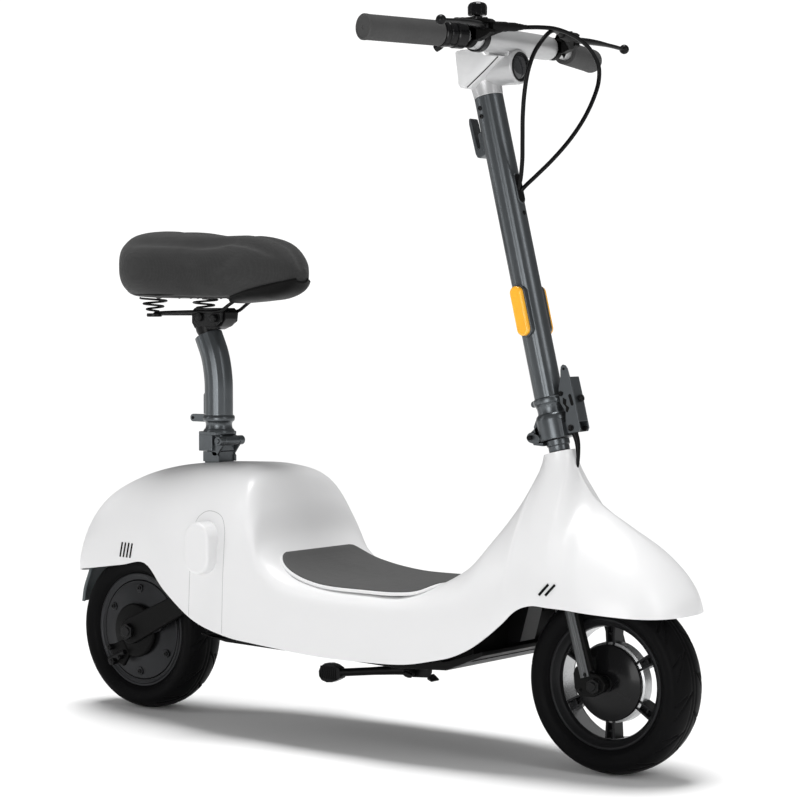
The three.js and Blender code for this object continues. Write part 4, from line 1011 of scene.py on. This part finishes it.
def build_latch():
    """Folded sheet lever on its cross pin; its lightening slots and the hole near its tip are black
    patches on the plates, painted shade for the openings.
    """
    outline = [(26, 84), (25, 74), (25, 64), (28, 57), (30, 51), (28, 43), (27, 36), (27, 22),
        (46, 20), (49, 24), (49, 66), (48.4, 98), (47.4, 110), (45, 115), (41, 117), (37.4, 115),
        (35.4, 110), (33.6, 102), (30, 94)]
    lever = Shape()
    lever.prism(outline, -12, -9.6, stem_side)
    lever.prism(outline[:12] + outline[-1:], 9.6, 12, stem_side)
    lever.prism([(46.4, 34), (49, 34), (49, 66), (48.4, 98), (45.8, 98), (46.4, 66)], -10, 10,
        stem_side)
    lever.make("fold_latch_plate", STEM_GREY, "latch", ["fold_latch_lever"], bevel=0.7)
    # Black patches on both plates where the lightening slots are, and a round one near the tip on
    # the right plate: painted shade standing in for the openings.
    painted_slot_shade = Shape()
    for hand in (-1, 1):
        deep = span(hand, 11.4, 12.25)
        painted_slot_shade.prism([(31, 52), (34, 50), (38, 56), (34, 61), (36, 68), (31, 72), (29, 64),
            (33, 58)], *deep, stem_side)
        painted_slot_shade.prism(link_outline((44, 60, 2.4), (43, 72, 2.4)), *deep, stem_side)
    painted_slot_shade.lathe(plug(1.9, -12.25, -11.6), stem_cross(41.4, 110.6), 20)
    painted_slot_shade.make("fold_latch_slot_shade", BLACK, "latch")
    fixings = Shape()
    for u, w, r in ((*LATCH_PIN, 4.6), (29, 78, 3.6)):
        fixings.lathe([(0, -13.8), (r * 0.5, -13.8), (r * 0.55, -13), (r - 0.5, -13.8), (r, -13.2),
            (r, 13.2), (r - 0.5, 13.8), (0, 13.8)], stem_cross(u, w), 32)
    for hand in (-1, 1):
        fixings.lathe(plug(3.8, *span(hand, 6, 9.6)), stem_cross(44, 24), 24)
    fixings.lathe([(0, 46), (3, 46), (3, 50), (5, 50.5), (5.4, 52), (5, 55), (3.6, 56), (0, 56)],
        stem_ahead(66), 32)
    fixings.make("fold_latch_pins", BLACK_METAL, "latch")


def build_reflectors():
    for hand, word in SIDES:
        outline = link_outline((0, 178, 11.6), (0, 230, 11.6), 20)
        Shape().prism(outline, *span(hand, 15, 26), stem_side).make(f"reflector_housing_{word}",
            STEM_GREY, "stem", bevel=1.2, segments=3)
        outline = link_outline((0, 178, 9.6), (0, 230, 9.6), 20)
        Shape().prism(outline, *span(hand, 24, 33), stem_side).make(f"reflector_lens_{word}", AMBER,
            "stem", [f"reflector_{word}"], bevel=2.6, segments=4)


def build_hook():
    hook = Shape().prism([(-18, 439), (-30, 436), (-34, 438), (-36, 444), (-37.2, 488), (-36, 495),
        (-34, 497), (-32, 495), (-31.4, 488), (-30.4, 452), (-29, 449.6), (-26.6, 449.4),
        (-25.6, 452), (-25.4, 470), (-18, 473)], -9, 9, stem_side)
    hook.make("bag_hook_moulding", STEM_GREY, "stem", ["bag_hook"], bevel=1.6, segments=3)


# ---- Head and handlebar ----------------------------------------------------------------------

def build_head():
    head = Shape()
    head.lathe([(0, 656), (22, 656), (24, 659), (24.5, 664), (24.8, 724), (24.2, 727), (22.8, 728),
        (20.4, 728), (20, 727), (20, 720), (0, 720)], ahead_at(HEADLIGHT_Z), 96)
    rings = []
    turns = [2 * math.pi * k / 64 for k in range(64)]
    for share in [k / 12 for k in range(13)]:
        w = STEM_TOP + 0.4 + share * 42
        radius = 21 + 5.4 * share ** 2
        squash = 1 + 0.1 * share
        rings.append([up_stem(radius * squash * math.cos(t), radius * math.sin(t), w)
            for t in turns])
    head.rings(rings, closed=False)
    head.prism([(684, 1004), (690, 1001), (703, 996), (722, 996), (722, 1012), (703, 1014)], -21,
        21, side)
    head.make("head_casting", SILVER, "stem", ["stem_head"], bevel=1.2, segments=3, angle=42)
    ring = Shape().lathe([(18, 724), (20.8, 724), (21, 728.4), (20.2, 729.2), (18.6, 729),
        (18, 728)], ahead_at(HEADLIGHT_Z), 64)
    ring.make("headlight_bezel", GLOSS_BLACK, "stem")
    lens = [(0, 722), (18.6, 722), (18.6, 726)]
    lens += [(18.6 * math.cos(t), 726 + 2.4 * math.sin(t)) for t in (0.4, 0.8, 1.2, 1.5)]
    Shape().lathe([*lens, (0, 728.4)], ahead_at(HEADLIGHT_Z), 64).make("headlight_glass", LENS,
        "stem", ["headlight_lens"])
    wedge = Shape()
    rings = []
    outline = [(637, 1009), (643, 962), (646, 957.6), (651, 956.4), (664, 956.6), (716, 998.6),
        (700, 1001.4), (690, 1002.6), (684, 1009.6), (680, 1011), (641, 1011)]
    for y, inset in ((-35, 3.4), (-34.4, 1.6), (-32.6, 0.4), (-30, 0), (30, 0), (32.6, 0.4),
            (34.4, 1.6), (35, 3.4)):
        middle = Vector((672, 0, 988))
        ring = []
        for x, z in outline:
            toward = (middle - Vector((x, 0, z))).normalized() * inset
            ring.append(at(x + toward.x, y, z + toward.z))
        rings.append(ring)
    wedge.rings(rings, closed=False)
    wedge.make("display_housing", WEDGE, "stem", ["display_unit"], bevel=0.8, angle=50)
    joint = Shape()
    for hand in (-1, 1):
        joint.tube(mirror([(660, 35, 957.2), (690, 35.2, 978.6), (714, 35, 997.4)], hand), 0.8, 8)
    joint.make("display_joint", BLACK, "stem")
    screen = Shape().prism([(641, 1011.2), (681, 1011.2), (681, 1012), (641, 1012)], -27, 27, side)
    screen.make("display_glass", GLOSS_BLACK, "stem", slot="dark_lens", bevel=0.4)


def bar_place(hand):
    """Turned pieces on one side's swept bar; h counts from the bend."""
    return along(on_bar(BAR_BEND, hand), on_bar(BAR_END, hand))


def sweep_length(out):
    """Distance along the swept bar at out from the scooter's middle."""
    return (out - BAR_BEND) / math.cos(BAR_SWEEP)


def build_bar():
    bar = Shape()
    across = along(on_bar(0, 1), on_bar(BAR_BEND, 1))
    bar.lathe(plug(BAR_RADIUS, -BAR_BEND, BAR_BEND), across, 48)
    bar.lathe(both([(0, 96), (14.6, 96), (16.6, 94), (17.4, 88), (17.8, 60)]), across, 96)
    for hand in (-1, 1):
        place = bar_place(hand)
        bar.ball(on_bar(BAR_BEND, hand), BAR_RADIUS, 32)
        bar.lathe(plug(BAR_RADIUS, 0, sweep_length(268)), place, 48)
    bar.make("handlebar_shroud", SILVER, "stem", ["handlebar_tube"], angle=40)
    for hand, word in SIDES:
        build_grip(hand, word)
        build_brake(hand, word)


def build_grip(hand, word):
    place = bar_place(hand)
    start, end = sweep_length(152), sweep_length(BAR_END)
    profile = [(11.4, start), (16.8, start), (17.5, start + 1)]
    ribs = 22
    for k in range(ribs):
        h = start + 4 + (end - start - 16) * k / ribs
        pitch = (end - start - 16) / ribs
        profile += [(17.5, h), (17.38, h + pitch * 0.25), (17.38, h + pitch * 0.5),
            (17.5, h + pitch * 0.75)]
    profile += [(17.5, end - 6), (17.9, end - 5), (17.9, end - 1.2), (17, end), (15.4, end),
        (14.6, end - 0.9), (4, end - 0.9), (3.4, end - 1.6), (0, end - 1.6), (0, end - 5),
        (11.4, end - 5)]
    Shape().lathe(profile, place, 80).make(f"grip_{word}_sleeve", GRIP_GREY, "stem",
        [f"grip_{word}"], angle=30)


def mirror(points, hand):
    return [at(x, hand * y, z) for x, y, z in points]


def build_brake(hand, word):
    """Clamp, lever bracket with its cable barrel and adjuster, and the ball-ended lever."""
    mount = Shape()
    place = along(on_bar(90, hand), on_bar(BAR_BEND, hand))
    mount.lathe(washer(16.4, 11.2, 7.6, 19, 1), place, 48)
    wide = span(hand, 97.5, 110)
    mount.prism([(716, 1030), (724, 1012), (731, 1012), (748, 1018), (755, 1022), (754, 1026.4),
        (736, 1026.4), (724, 1031)], *wide, side)
    mount.prism([(716, 1031), (724, 1033.6), (738, 1035.6), (754, 1035.6), (755, 1038), (750, 1041),
        (736, 1042), (724, 1040)], *wide, side)
    mount.prism([(716, 1028), (724, 1012), (731, 1014), (731, 1041), (722, 1040)], *wide, side)
    barrel = along(at(749, hand * 96, 1031), at(762, hand * 52, 1033))
    mount.lathe([(0, -4), (6.4, -4), (7, -2), (7, 22), (6.2, 26), (6.2, 38), (5.2, 44), (0, 44)],
        barrel, 32)
    mount.tube(mirror([(746, 101, 1022), (749, 92, 1026), (753, 82, 1030)], hand), 6, 16)
    adjuster = along(at(760, hand * 58, 1033), at(765.5, hand * 39, 1034))
    profile = [(0, 0), (4.6, 0)]
    for k in range(5):
        profile += [(4.9, 2 + 1.6 * k), (4.3, 2.8 + 1.6 * k)]
    profile += [(4.2, 12), (3.4, 15), (3.4, 19.6), (2.6, 20), (0, 20)]
    mount.lathe(profile, adjuster, 28)
    mount.make(f"brake_bracket_{word}", BLACK, "stem", [f"brake_mount_{word}"], bevel=0.9)
    bolts = Shape()
    for x, y, z in ((742, 104, 1041.4), (727, 104, 1041)):
        bolts.lathe(socket_head(3.6, 2, 1.7), upright_at(x, hand * y, z), 24)
    bolts.make(f"brake_bracket_bolts_{word}", BLACK_METAL, "stem")
    lever = Shape()
    lever.lathe([(0, 1027.2), (5.6, 1027.2), (6, 1027.8), (6, 1034.2), (5.6, 1034.8), (0, 1034.8)],
        upright_at(LEVER_PIVOT[0], hand * LEVER_PIVOT[1]), 32)
    path = catmull_rom(mirror([(742, 106, 1031), (746, 125, 1031.5), (751, 160, 1031),
        (755, 195, 1029), (757, 220, 1027)], hand), 8)
    def thick(share):
        return 3.9 + 1.5 * math.sin(math.pi * min(1, share * 1.5)) - 0.8 * share
    lever.tube(path, thick, 20, lambda turn: 1 - 0.14 * math.cos(2 * turn))
    lever.ball(*mirror([LEVER_BALL], hand), 7.2, 32)
    lever.make(f"brake_lever_{word}_blade", BLACK_METAL, f"brake_lever_{word}_body",
        [f"brake_lever_{word}"], angle=50)


CABLE_RIGHT = [(765.9, -37, 1034), (772, -16, 1035.5), (779, 12, 1035.5), (785, 42, 1030),
    (789, 70, 1020), (790, 92, 1006), (790, 106, 989), (789, 107, 968), (786, 98, 943),
    (779, 84, 914), (768, 65, 884), (754, 42, 855), (741, 19, 831), (730, 4.6, 814),
    (716, 3.1, 798)]
CABLE_LEFT = [(765.9, 37, 1034), (771, 20, 1034.5), (775, 2, 1029.5), (775, -15, 1017),
    (771, -29, 998), (765, -35, 972), (758, -33, 944), (751, -27, 912), (745, -19, 880),
    (738, -10, 848), (729, -4.4, 818), (716, -3.1, 800)]


def build_cables():
    for word, route in (("right", CABLE_RIGHT), ("left", CABLE_LEFT)):
        path = catmull_rom([at(*p) for p in route], 10)
        Shape().tube(path, 3.1, 16).make(f"brake_cable_{word}_sheath", CABLE, "stem",
            [f"brake_cable_{word}"])


def build_throttle_and_bell():
    place = bar_place(-1)
    housing = Shape().lathe(washer(19, 11.4, sweep_length(114), sweep_length(131), 1.6), place, 64)
    housing.lathe([(0, 1036), (8.6, 1036), (9, 1037), (9, 1042), (8, 1043), (0, 1043)],
        upright_at(712, -122), 40)
    housing.make("throttle_body", GLOSS_BLACK, "stem", ["throttle_housing"])
    ring = Shape().lathe([(11.4, sweep_length(132)), (17.4, sweep_length(132)),
        (18, sweep_length(133)), (17.6, sweep_length(137)), (18, sweep_length(141)),
        (17.2, sweep_length(143)), (11.4, sweep_length(143))], place, 64)
    ring.tube(mirror([(694, 136, 1010), (687, 137, 1004), (682, 138, 1001)], -1),
        lambda share: 6 - share, 20)
    ring.make("throttle_ring", GLOSS_BLACK, "throttle", ["throttle_paddle"])
    collar = Shape().lathe(washer(18.6, 11.4, sweep_length(143.6), sweep_length(151), 1.2), place)
    collar.make("throttle_collar", GLOSS_BLACK, "stem")
    bell = Shape()
    across = along(on_bar(0, -1), on_bar(BAR_BEND, -1))
    bell.lathe(washer(20.4, 17.9, 74, 86, 0.8), across, 64)
    stand = upright_at(711, -80)
    bell.lathe([(0, 1039), (7.6, 1039), (8, 1040), (8, 1044), (4.2, 1044.2), (4.2, 1050),
        (0, 1050)], stand, 40)
    facets = 12
    bell.lathe([(0, 1050), (12.4, 1050), (13.6, 1051.4), (13.8, 1062), (12.6, 1065.5),
        (10.4, 1067.6), (6, 1069), (0, 1069)], stand, facets)
    bell.make("bell_dome", GLOSS_BLACK, "stem", ["bell_body"], bevel=0.5, angle=20,
        slot="black_plastic")
    striker = Shape().lathe(washer(7.4, 4.4, 1044.6, 1049.4, 0.5), stand, 40)
    striker.prism([(704, -84), (690, -84), (678, -82.6), (676, -80), (678, -77.4), (690, -76),
        (704, -76)], 1045, 1049, at)
    striker.make("bell_striker_arm", BLACK_METAL, "bell_striker", ["bell_lever"], bevel=0.6)


# ---- Seat post -------------------------------------------------------------------------------

def build_seat_post():
    post = Shape()
    path = catmull_rom([at(SEAT_POST_X, 0, 474), at(SEAT_POST_X, 0, 500), at(147, 0, 535),
        at(140, 0, 570), at(126, 0, 602)], 8)
    post.tube(path, 22.5, 120, fluted(POST_FLUTES))
    stand = upright_at(SEAT_POST_X, 0)
    post.lathe([(0, 452), (22.5, 452), (21.4, 456), (20.6, 460), (20.8, 464), (22.4, 466.4),
        (24.6, 468), (25.2, 471.5), (24.6, 475), (22.6, 476.8), (0, 477)], stand, 96)
    post.prism([(128, -25), (124, -20), (124, 20), (128, 25), (156, 25), (156, 16.4), (166, 16.4),
        (166, -16.4), (156, -16.4), (156, -25)], 420.6, 446, at)
    post.prism([(128, -25), (124, -20), (124, 20), (128, 25), (162, 25), (166, 20), (166, -20),
        (162, -25)], 445.6, 451, at)
    post.lathe([(0, 449), (25, 449), (24.6, 452), (22.5, 455.4), (0, 455.4)], stand, 96)
    post.prism(link_outline((*SEAT_HINGE, 7.4), (160, 440, 9)), -16.2, 16.2, side)
    post.prism(link_outline((126, 471, 6), (95, 471, 6), 18), -3.6, 3.6, side)
    post.prism([(121, 478), (125, 478), (127, 512), (124, 512), (121, 508)], -7, 7, side)
    post.make("seat_post_casting", STEM_GREY, "seat", ["seat_post"], bevel=0.9, segments=3,
        angle=40)
    eye = Shape().lathe(plug(2.6, -3.9, 3.9), cross_at(95, 471), 24)
    eye.make("seat_post_eye_bush", BLACK, "seat")
    barrel = Shape()
    for hand in (-1, 1):
        barrel.lathe(washer(7.4, 3.6, *span(hand, 17, 28.4), 0.8), cross_at(*SEAT_HINGE), 40)
        wide = span(hand, 17, 21)
        barrel.prism(link_outline((*SEAT_HINGE, 7.2), (158, 420, 7)), *wide, side)
        barrel.prism([(133, 404), (166, 404), (166, 413), (160, 419.8), (133, 419.8)], *wide, side)
    barrel.prism([(134, 400), (163, 400), (163, 419.6), (134, 419.6)], -18, 18, side)
    barrel.make("seat_hinge_base", STEM_GREY, "chassis", ["seat_base"], bevel=0.5)


def build_clamp():
    clamp = Shape()
    clamp.prism([(102, 640), (102, 622), (108, 613), (118, 610.6), (150, 611), (166, 617),
        (175, 628), (175, 638), (168, 645), (108, 645)], -13, 13, side)
    for hand in (-1, 1):
        clamp.prism([(112, 640), (112, 624), (122, 616), (156, 615), (170, 624), (172, 638),
            (164, 645), (120, 645)], *span(hand, 14.5, 20), side)
        clamp.lathe([(0, hand * 20), (7, hand * 20), (7, hand * 25), (5.6, hand * 26.4),
            (0, hand * 26.4)], cross_at(158, 629), 6)
        clamp.lathe([(0, hand * 20), (7, hand * 20), (7, hand * 24), (0, hand * 25)],
            cross_at(126, 631), 28)
    clamp.lathe([(0, -9), (15, -9), (15, 0), (17, 6), (17, 14), (0, 14)],
        along(at(124.5, 0, 605), at(121, 0, 616)), 40)
    clamp.make("saddle_clamp_block", BLACK_METAL, "seat", ["seat_clamp"], bevel=1, segments=3)


# ---- Saddle ----------------------------------------------------------------------------------

def build_rails():
    rails = Shape()
    for hand in (-1, 1):
        route = [(64, 58, 636), (72, 50, 637.5), (92, 31, 638.5), (112, 21, 639), (150, 21, 639),
            (164, 21, 639.3), (173, 20.6, 641), (186, 20, 648.5), (214, 17, 664.5)]
        rails.tube(catmull_rom(mirror(route, hand), 8), 2.7, 16)
        rails.lathe([(0, 631), (11, 631), (12, 632), (12, 635.6), (11, 636.6), (0, 636.6)],
            upright_at(SPRING_X, hand * SPRING_Y), 40)
    rails.tube(mirror([(64, -58, 635.5), (60, 0, 635.5), (64, 58, 635.5)], 1), 2.7, 16)
    rails.make("saddle_rail_wire", BLACK_METAL, "seat", ["saddle_rails"])
    for hand, word in SIDES:
        coil = []
        count = 130
        for i in range(count + 1):
            share = i / count
            turn = 2 * math.pi * SPRING_TURNS * share
            radius = 10 + 12 * share
            coil.append(at(SPRING_X + radius * math.cos(turn),
                hand * (SPRING_Y + radius * math.sin(turn)), 639.6 + 21 * share))
        spring = Shape().tube(coil, 1.7, 12).make(f"saddle_spring_{word}_coil", BLACK_METAL, "seat",
            [f"saddle_spring_{word}"], slot="steel")
        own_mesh(spring)


SADDLE_SECTIONS = [(3.5, 46, 738, 684), (10, 76, 753, 668), (28, 100, 764, 658),
    (60, 112, 765, 653), (94, 112, 761, 652), (130, 98, 756, 652), (166, 77, 753, 653),
    (205, 61, 753, 655), (250, 52, 753, 658), (284, 44, 745, 662), (308, 32, 726, 672),
    (319.5, 13, 704, 686)]
SADDLE_EDGE = [(198, 656.5), (210, 663), (250, 673), (284, 680), (308, 685), (320, 690)]
SADDLE_RING = 72
SADDLE_SQUARE = 0.72
NOSE_COLUMNS = 24
SEAM_POINTS = 60
PUFF_FRAMES = 20


def saddle_rows():
    """The saddle's sections from rear to nose: x, half width, top and bottom."""
    places = catmull_rom([Vector(s[:3]) for s in SADDLE_SECTIONS], 6)
    lows = catmull_rom([Vector((s[0], s[3], 0)) for s in SADDLE_SECTIONS], 6)
    return [(*place, low.y) for place, low in zip(places, lows)]


def saddle_shape():
    rings = []
    for x, half, top, bottom in saddle_rows():
        middle = (top + bottom) / 2
        ring = []
        for j in range(SADDLE_RING):
            turn = 2 * math.pi * j / SADDLE_RING
            c, s = math.cos(turn), math.sin(turn)
            across = half * math.copysign(abs(c) ** SADDLE_SQUARE, c)
            high = math.copysign(abs(s) ** SADDLE_SQUARE, s) * (top - middle)
            z = middle + high
            if s > 0:
                z -= saddle_dip(x, abs(across) / max(1, half))
            ring.append(at(x, across, z))
        rings.append(ring)
    return rings


def saddle_dip(x, share):
    """How far the top is pressed in: a shallow channel and the crease beside the nose."""
    channel = 3.2 * math.exp(-(share / 0.2) ** 2) * min(1, max(0, (x - 20) / 60))
    line = 0.86 - 0.0014 * max(0, x - 30) if x < 210 else 0.6 + 0.003 * (x - 210)
    crease = 3.4 * math.exp(-((share - line) / 0.1) ** 2)
    return channel * 0.6 + crease * min(1, max(0, (x - 15) / 50)) * min(1, max(0, (312 - x) / 30))


def puff(piece):
    """Inflates the cushion with a short cloth simulation and applies the result."""
    rest = [v.co.copy() for v in piece.data.vertices]
    cloth = piece.modifiers.new("cloth", "CLOTH")
    cloth.settings.use_pressure = True
    cloth.settings.uniform_pressure_force = 4
    cloth.settings.effector_weights.gravity = 0
    cloth.settings.tension_stiffness = 40
    cloth.settings.compression_stiffness = 40
    cloth.settings.bending_stiffness = 12
    cloth.point_cache.frame_end = PUFF_FRAMES
    for number in range(1, PUFF_FRAMES + 1):
        scene.frame_set(number)
    shown = piece.evaluated_get(bpy.context.evaluated_depsgraph_get())
    puffed = [v.co.copy() for v in shown.data.vertices]
    piece.modifiers.remove(cloth)
    scene.frame_set(1)
    cap = 5 * MM
    for vertex, start, end in zip(piece.data.vertices, rest, puffed):
        move = end - start
        if move.length > cap:
            move *= cap / move.length
        vertex.co = start + move


def press_creases(saddle):
    """Draws the top in again along its channel and creases, after the padding has swelled."""
    halves = [(section[0], section[1]) for section in SADDLE_SECTIONS]
    for vertex in saddle.data.vertices:
        x = (vertex.co.x - REAR_AXLE_X) / MM
        if vertex.normal.z > 0.15 and SADDLE_SECTIONS[0][0] < x < SADDLE_SECTIONS[-1][0]:
            share = abs(vertex.co.y) / MM / at_share(halves, x)
            vertex.co.z -= 1.1 * saddle_dip(x, share) * MM


def build_saddle():
    shape = Shape().rings(saddle_shape(), closed=False)
    saddle = shape.make("saddle_cushion", FABRIC, "saddle", ["saddle_cover"], angle=80)
    bpy.context.view_layer.objects.active = saddle
    saddle.data.remesh_voxel_size = 5 * MM
    saddle.parent = None
    bpy.ops.object.select_all(action="DESELECT")
    saddle.select_set(True)
    bpy.ops.object.voxel_remesh()
    puff(saddle)
    press_creases(saddle)
    settle(saddle, "saddle")
    saddle.data.shade_smooth()
    hollow_under(saddle)
    smooth = saddle.modifiers.new("smooth", "SUBSURF")
    smooth.levels = smooth.render_levels = 1
    nose_shell()
    base = Shape().prism(saddle_outline(-5), 664.5, 671.5, at)
    base.make("saddle_pan", BLACK, "saddle", ["saddle_base"], bevel=2, segments=3)
    seams(saddle)


def nose_shell():
    """The dark moulded shell under the nose, and the piping along its upper edge."""
    rings, edges = [], ([], [])
    for x, half, top, bottom in saddle_rows():
        rise = at_share(SADDLE_EDGE, x)
        if x < SADDLE_EDGE[0][0] or rise < bottom + 1:
            continue
        middle, deep = (top + bottom) / 2, (top - bottom) / 2
        start = math.asin(min(1, max(0, (middle - rise) / deep)) ** (1 / SADDLE_SQUARE))
        ring = []
        for k in range(NOSE_COLUMNS + 1):
            turn = start + (math.pi - 2 * start) * k / NOSE_COLUMNS
            c, up = math.cos(turn), math.sin(turn) ** SADDLE_SQUARE
            across = (half + 1.4) * math.copysign(abs(c) ** SADDLE_SQUARE, c)
            ring.append(at(x + 0.6, across, middle - (deep + 1.2) * up))
        rings.append(ring)
        edges[0].append(ring[0])
        edges[1].append(ring[-1])
    shell = Shape().sheet(rings).make("saddle_nose_shell", BLACK, "saddle", angle=60)
    thicken(shell, 1.5)
    for line, word in zip(edges, ("left", "right")):
        Shape().tube(line, 1.1, 8).make(f"saddle_piping_{word}", BLACK, "saddle")


def saddle_outline(inset):
    points = [(12 - inset, 30), (22, 60 + inset), (48, 90 + inset), (92, 98 + inset),
        (132, 86 + inset), (175, 62 + inset), (230, 44 + inset), (286, 34 + inset),
        (302 + inset, 14)]
    line = [(p.x, p.y) for p in catmull_rom([(x, y, 0) for x, y in points], 5)]
    return [(x, -y) for x, y in line] + list(reversed(line))


def hollow_under(saddle):
    """Presses the underside flat and up, so that it sits on its pan like a skin."""
    for vertex in saddle.data.vertices:
        low = at(0, 0, 664).z
        if vertex.co.z < low and vertex.normal.z < -0.75:
            vertex.co.z = low + (vertex.co.z - low) * 0.3


def seams(saddle):
    """The sewn piping round the cushion's lower edge."""
    tree = BVHTree.FromObject(saddle, bpy.context.evaluated_depsgraph_get())
    for hand, word in SIDES:
        path = []
        for k in range(SEAM_POINTS):
            share = k / (SEAM_POINTS - 1)
            x = 14 + 184 * share
            z = 668 - 8 * share + 8 * max(0, 1 - k / 6)
            hit = tree.ray_cast(at(x, hand * 300, z), Vector((0, -hand, 0)))[0]
            if hit:
                path.append(hit - Vector((0, hand * 0.2 * MM, 0)))
        Shape().tube(path, 0.7, 8).make(f"saddle_seam_{word}", BLACK, "saddle")


# ---- Kickstand -------------------------------------------------------------------------------

def build_kickstand():
    leg = Shape()
    path = catmull_rom([at(494, 40, 101.8), at(470, 40, 98.6), at(420, 40, 92), at(362, 40, 84.4)],
        6)
    leg.tube(path, lambda share: 8.6 - 2.4 * min(1, share * 1.6), 24)
    leg.prism([(366, 92), (356, 96.5), (346, 98), (336, 97), (328, 92), (324, 84), (324.6, 76),
        (330, 70), (340, 67.6), (350, 68.6), (360, 72.6), (368, 77)], 33.5, 46.5, side)
    spin = along(at(498, 40, 102), at(498 + 10, 40 - 63, 102 - 77))
    leg.lathe([(0, -7.2), (9.2, -7.2), (9.6, -6.4), (9.6, 6.4), (9.2, 7.2), (0, 7.2)], spin, 40)
    leg.ball(at(470, 36, 104), 3.6, 20)
    leg.make("kickstand_leg_bar", BLACK_METAL, "kickstand", ["kickstand_leg"], bevel=1.6,
        segments=3)
    pad = Shape()
    for k in range(9):
        x = 329 + 3.8 * k
        pad.tube([at(x, 33.2, 73), at(x - 1.5, 33.2, 83), at(x, 33.2, 93)], 0.7, 6)
    pad.make("kickstand_pad_grips", BLACK, "kickstand")
    bracket = Shape()
    bracket.prism([(476, 132), (536, 132), (534, 100), (530, 92), (500, 90), (488, 96), (470, 118)],
        44, 49, side)
    bracket.prism([(476, 132), (536, 132), (534, 108), (520, 100), (508, 104), (484, 120)], 58, 62,
        side)
    bracket.prism([(527, 96), (533, 92), (538, 88), (536, 86), (528, 89)], 44, 62, side)
    bracket.make("kickstand_gusset", BLACK_METAL, "chassis", bevel=0.8)


def build_lead():
    """The motor and light leads, in one sleeve from the stem's foot into the body's neck."""
    path = catmull_rom([up_stem(31, 0, 21), up_stem(32, 0, 8), up_stem(30, 0, -6),
        up_stem(25.4, 0, -22), up_stem(22, 0, -30)], 8)
    lead = Shape().tube(path, lambda share: 4.8 - 3.2 * share, 16)
    bpy.context.view_layer.update()
    piece = lead.make("stem_lead_sleeve", CABLE, "fork")
    piece.parent = None
    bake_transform(piece)


# ---- Build -----------------------------------------------------------------------------------
add_camera()
add_lights()
flank = build_body()
body_details(flank)
build_mat()
build_underside()
build_tyre("rear_tyre", 0, "rear_wheel")
build_tyre("front_tyre", WHEELBASE, "front_wheel")
build_front_wheel()
build_rear_wheel()
build_swingarm()
build_fork()
build_stem()
build_head()
build_bar()
build_cables()
build_throttle_and_bell()
build_seat_post()
build_clamp()
build_rails()
build_saddle()
build_kickstand()
build_lead()
add_floor()
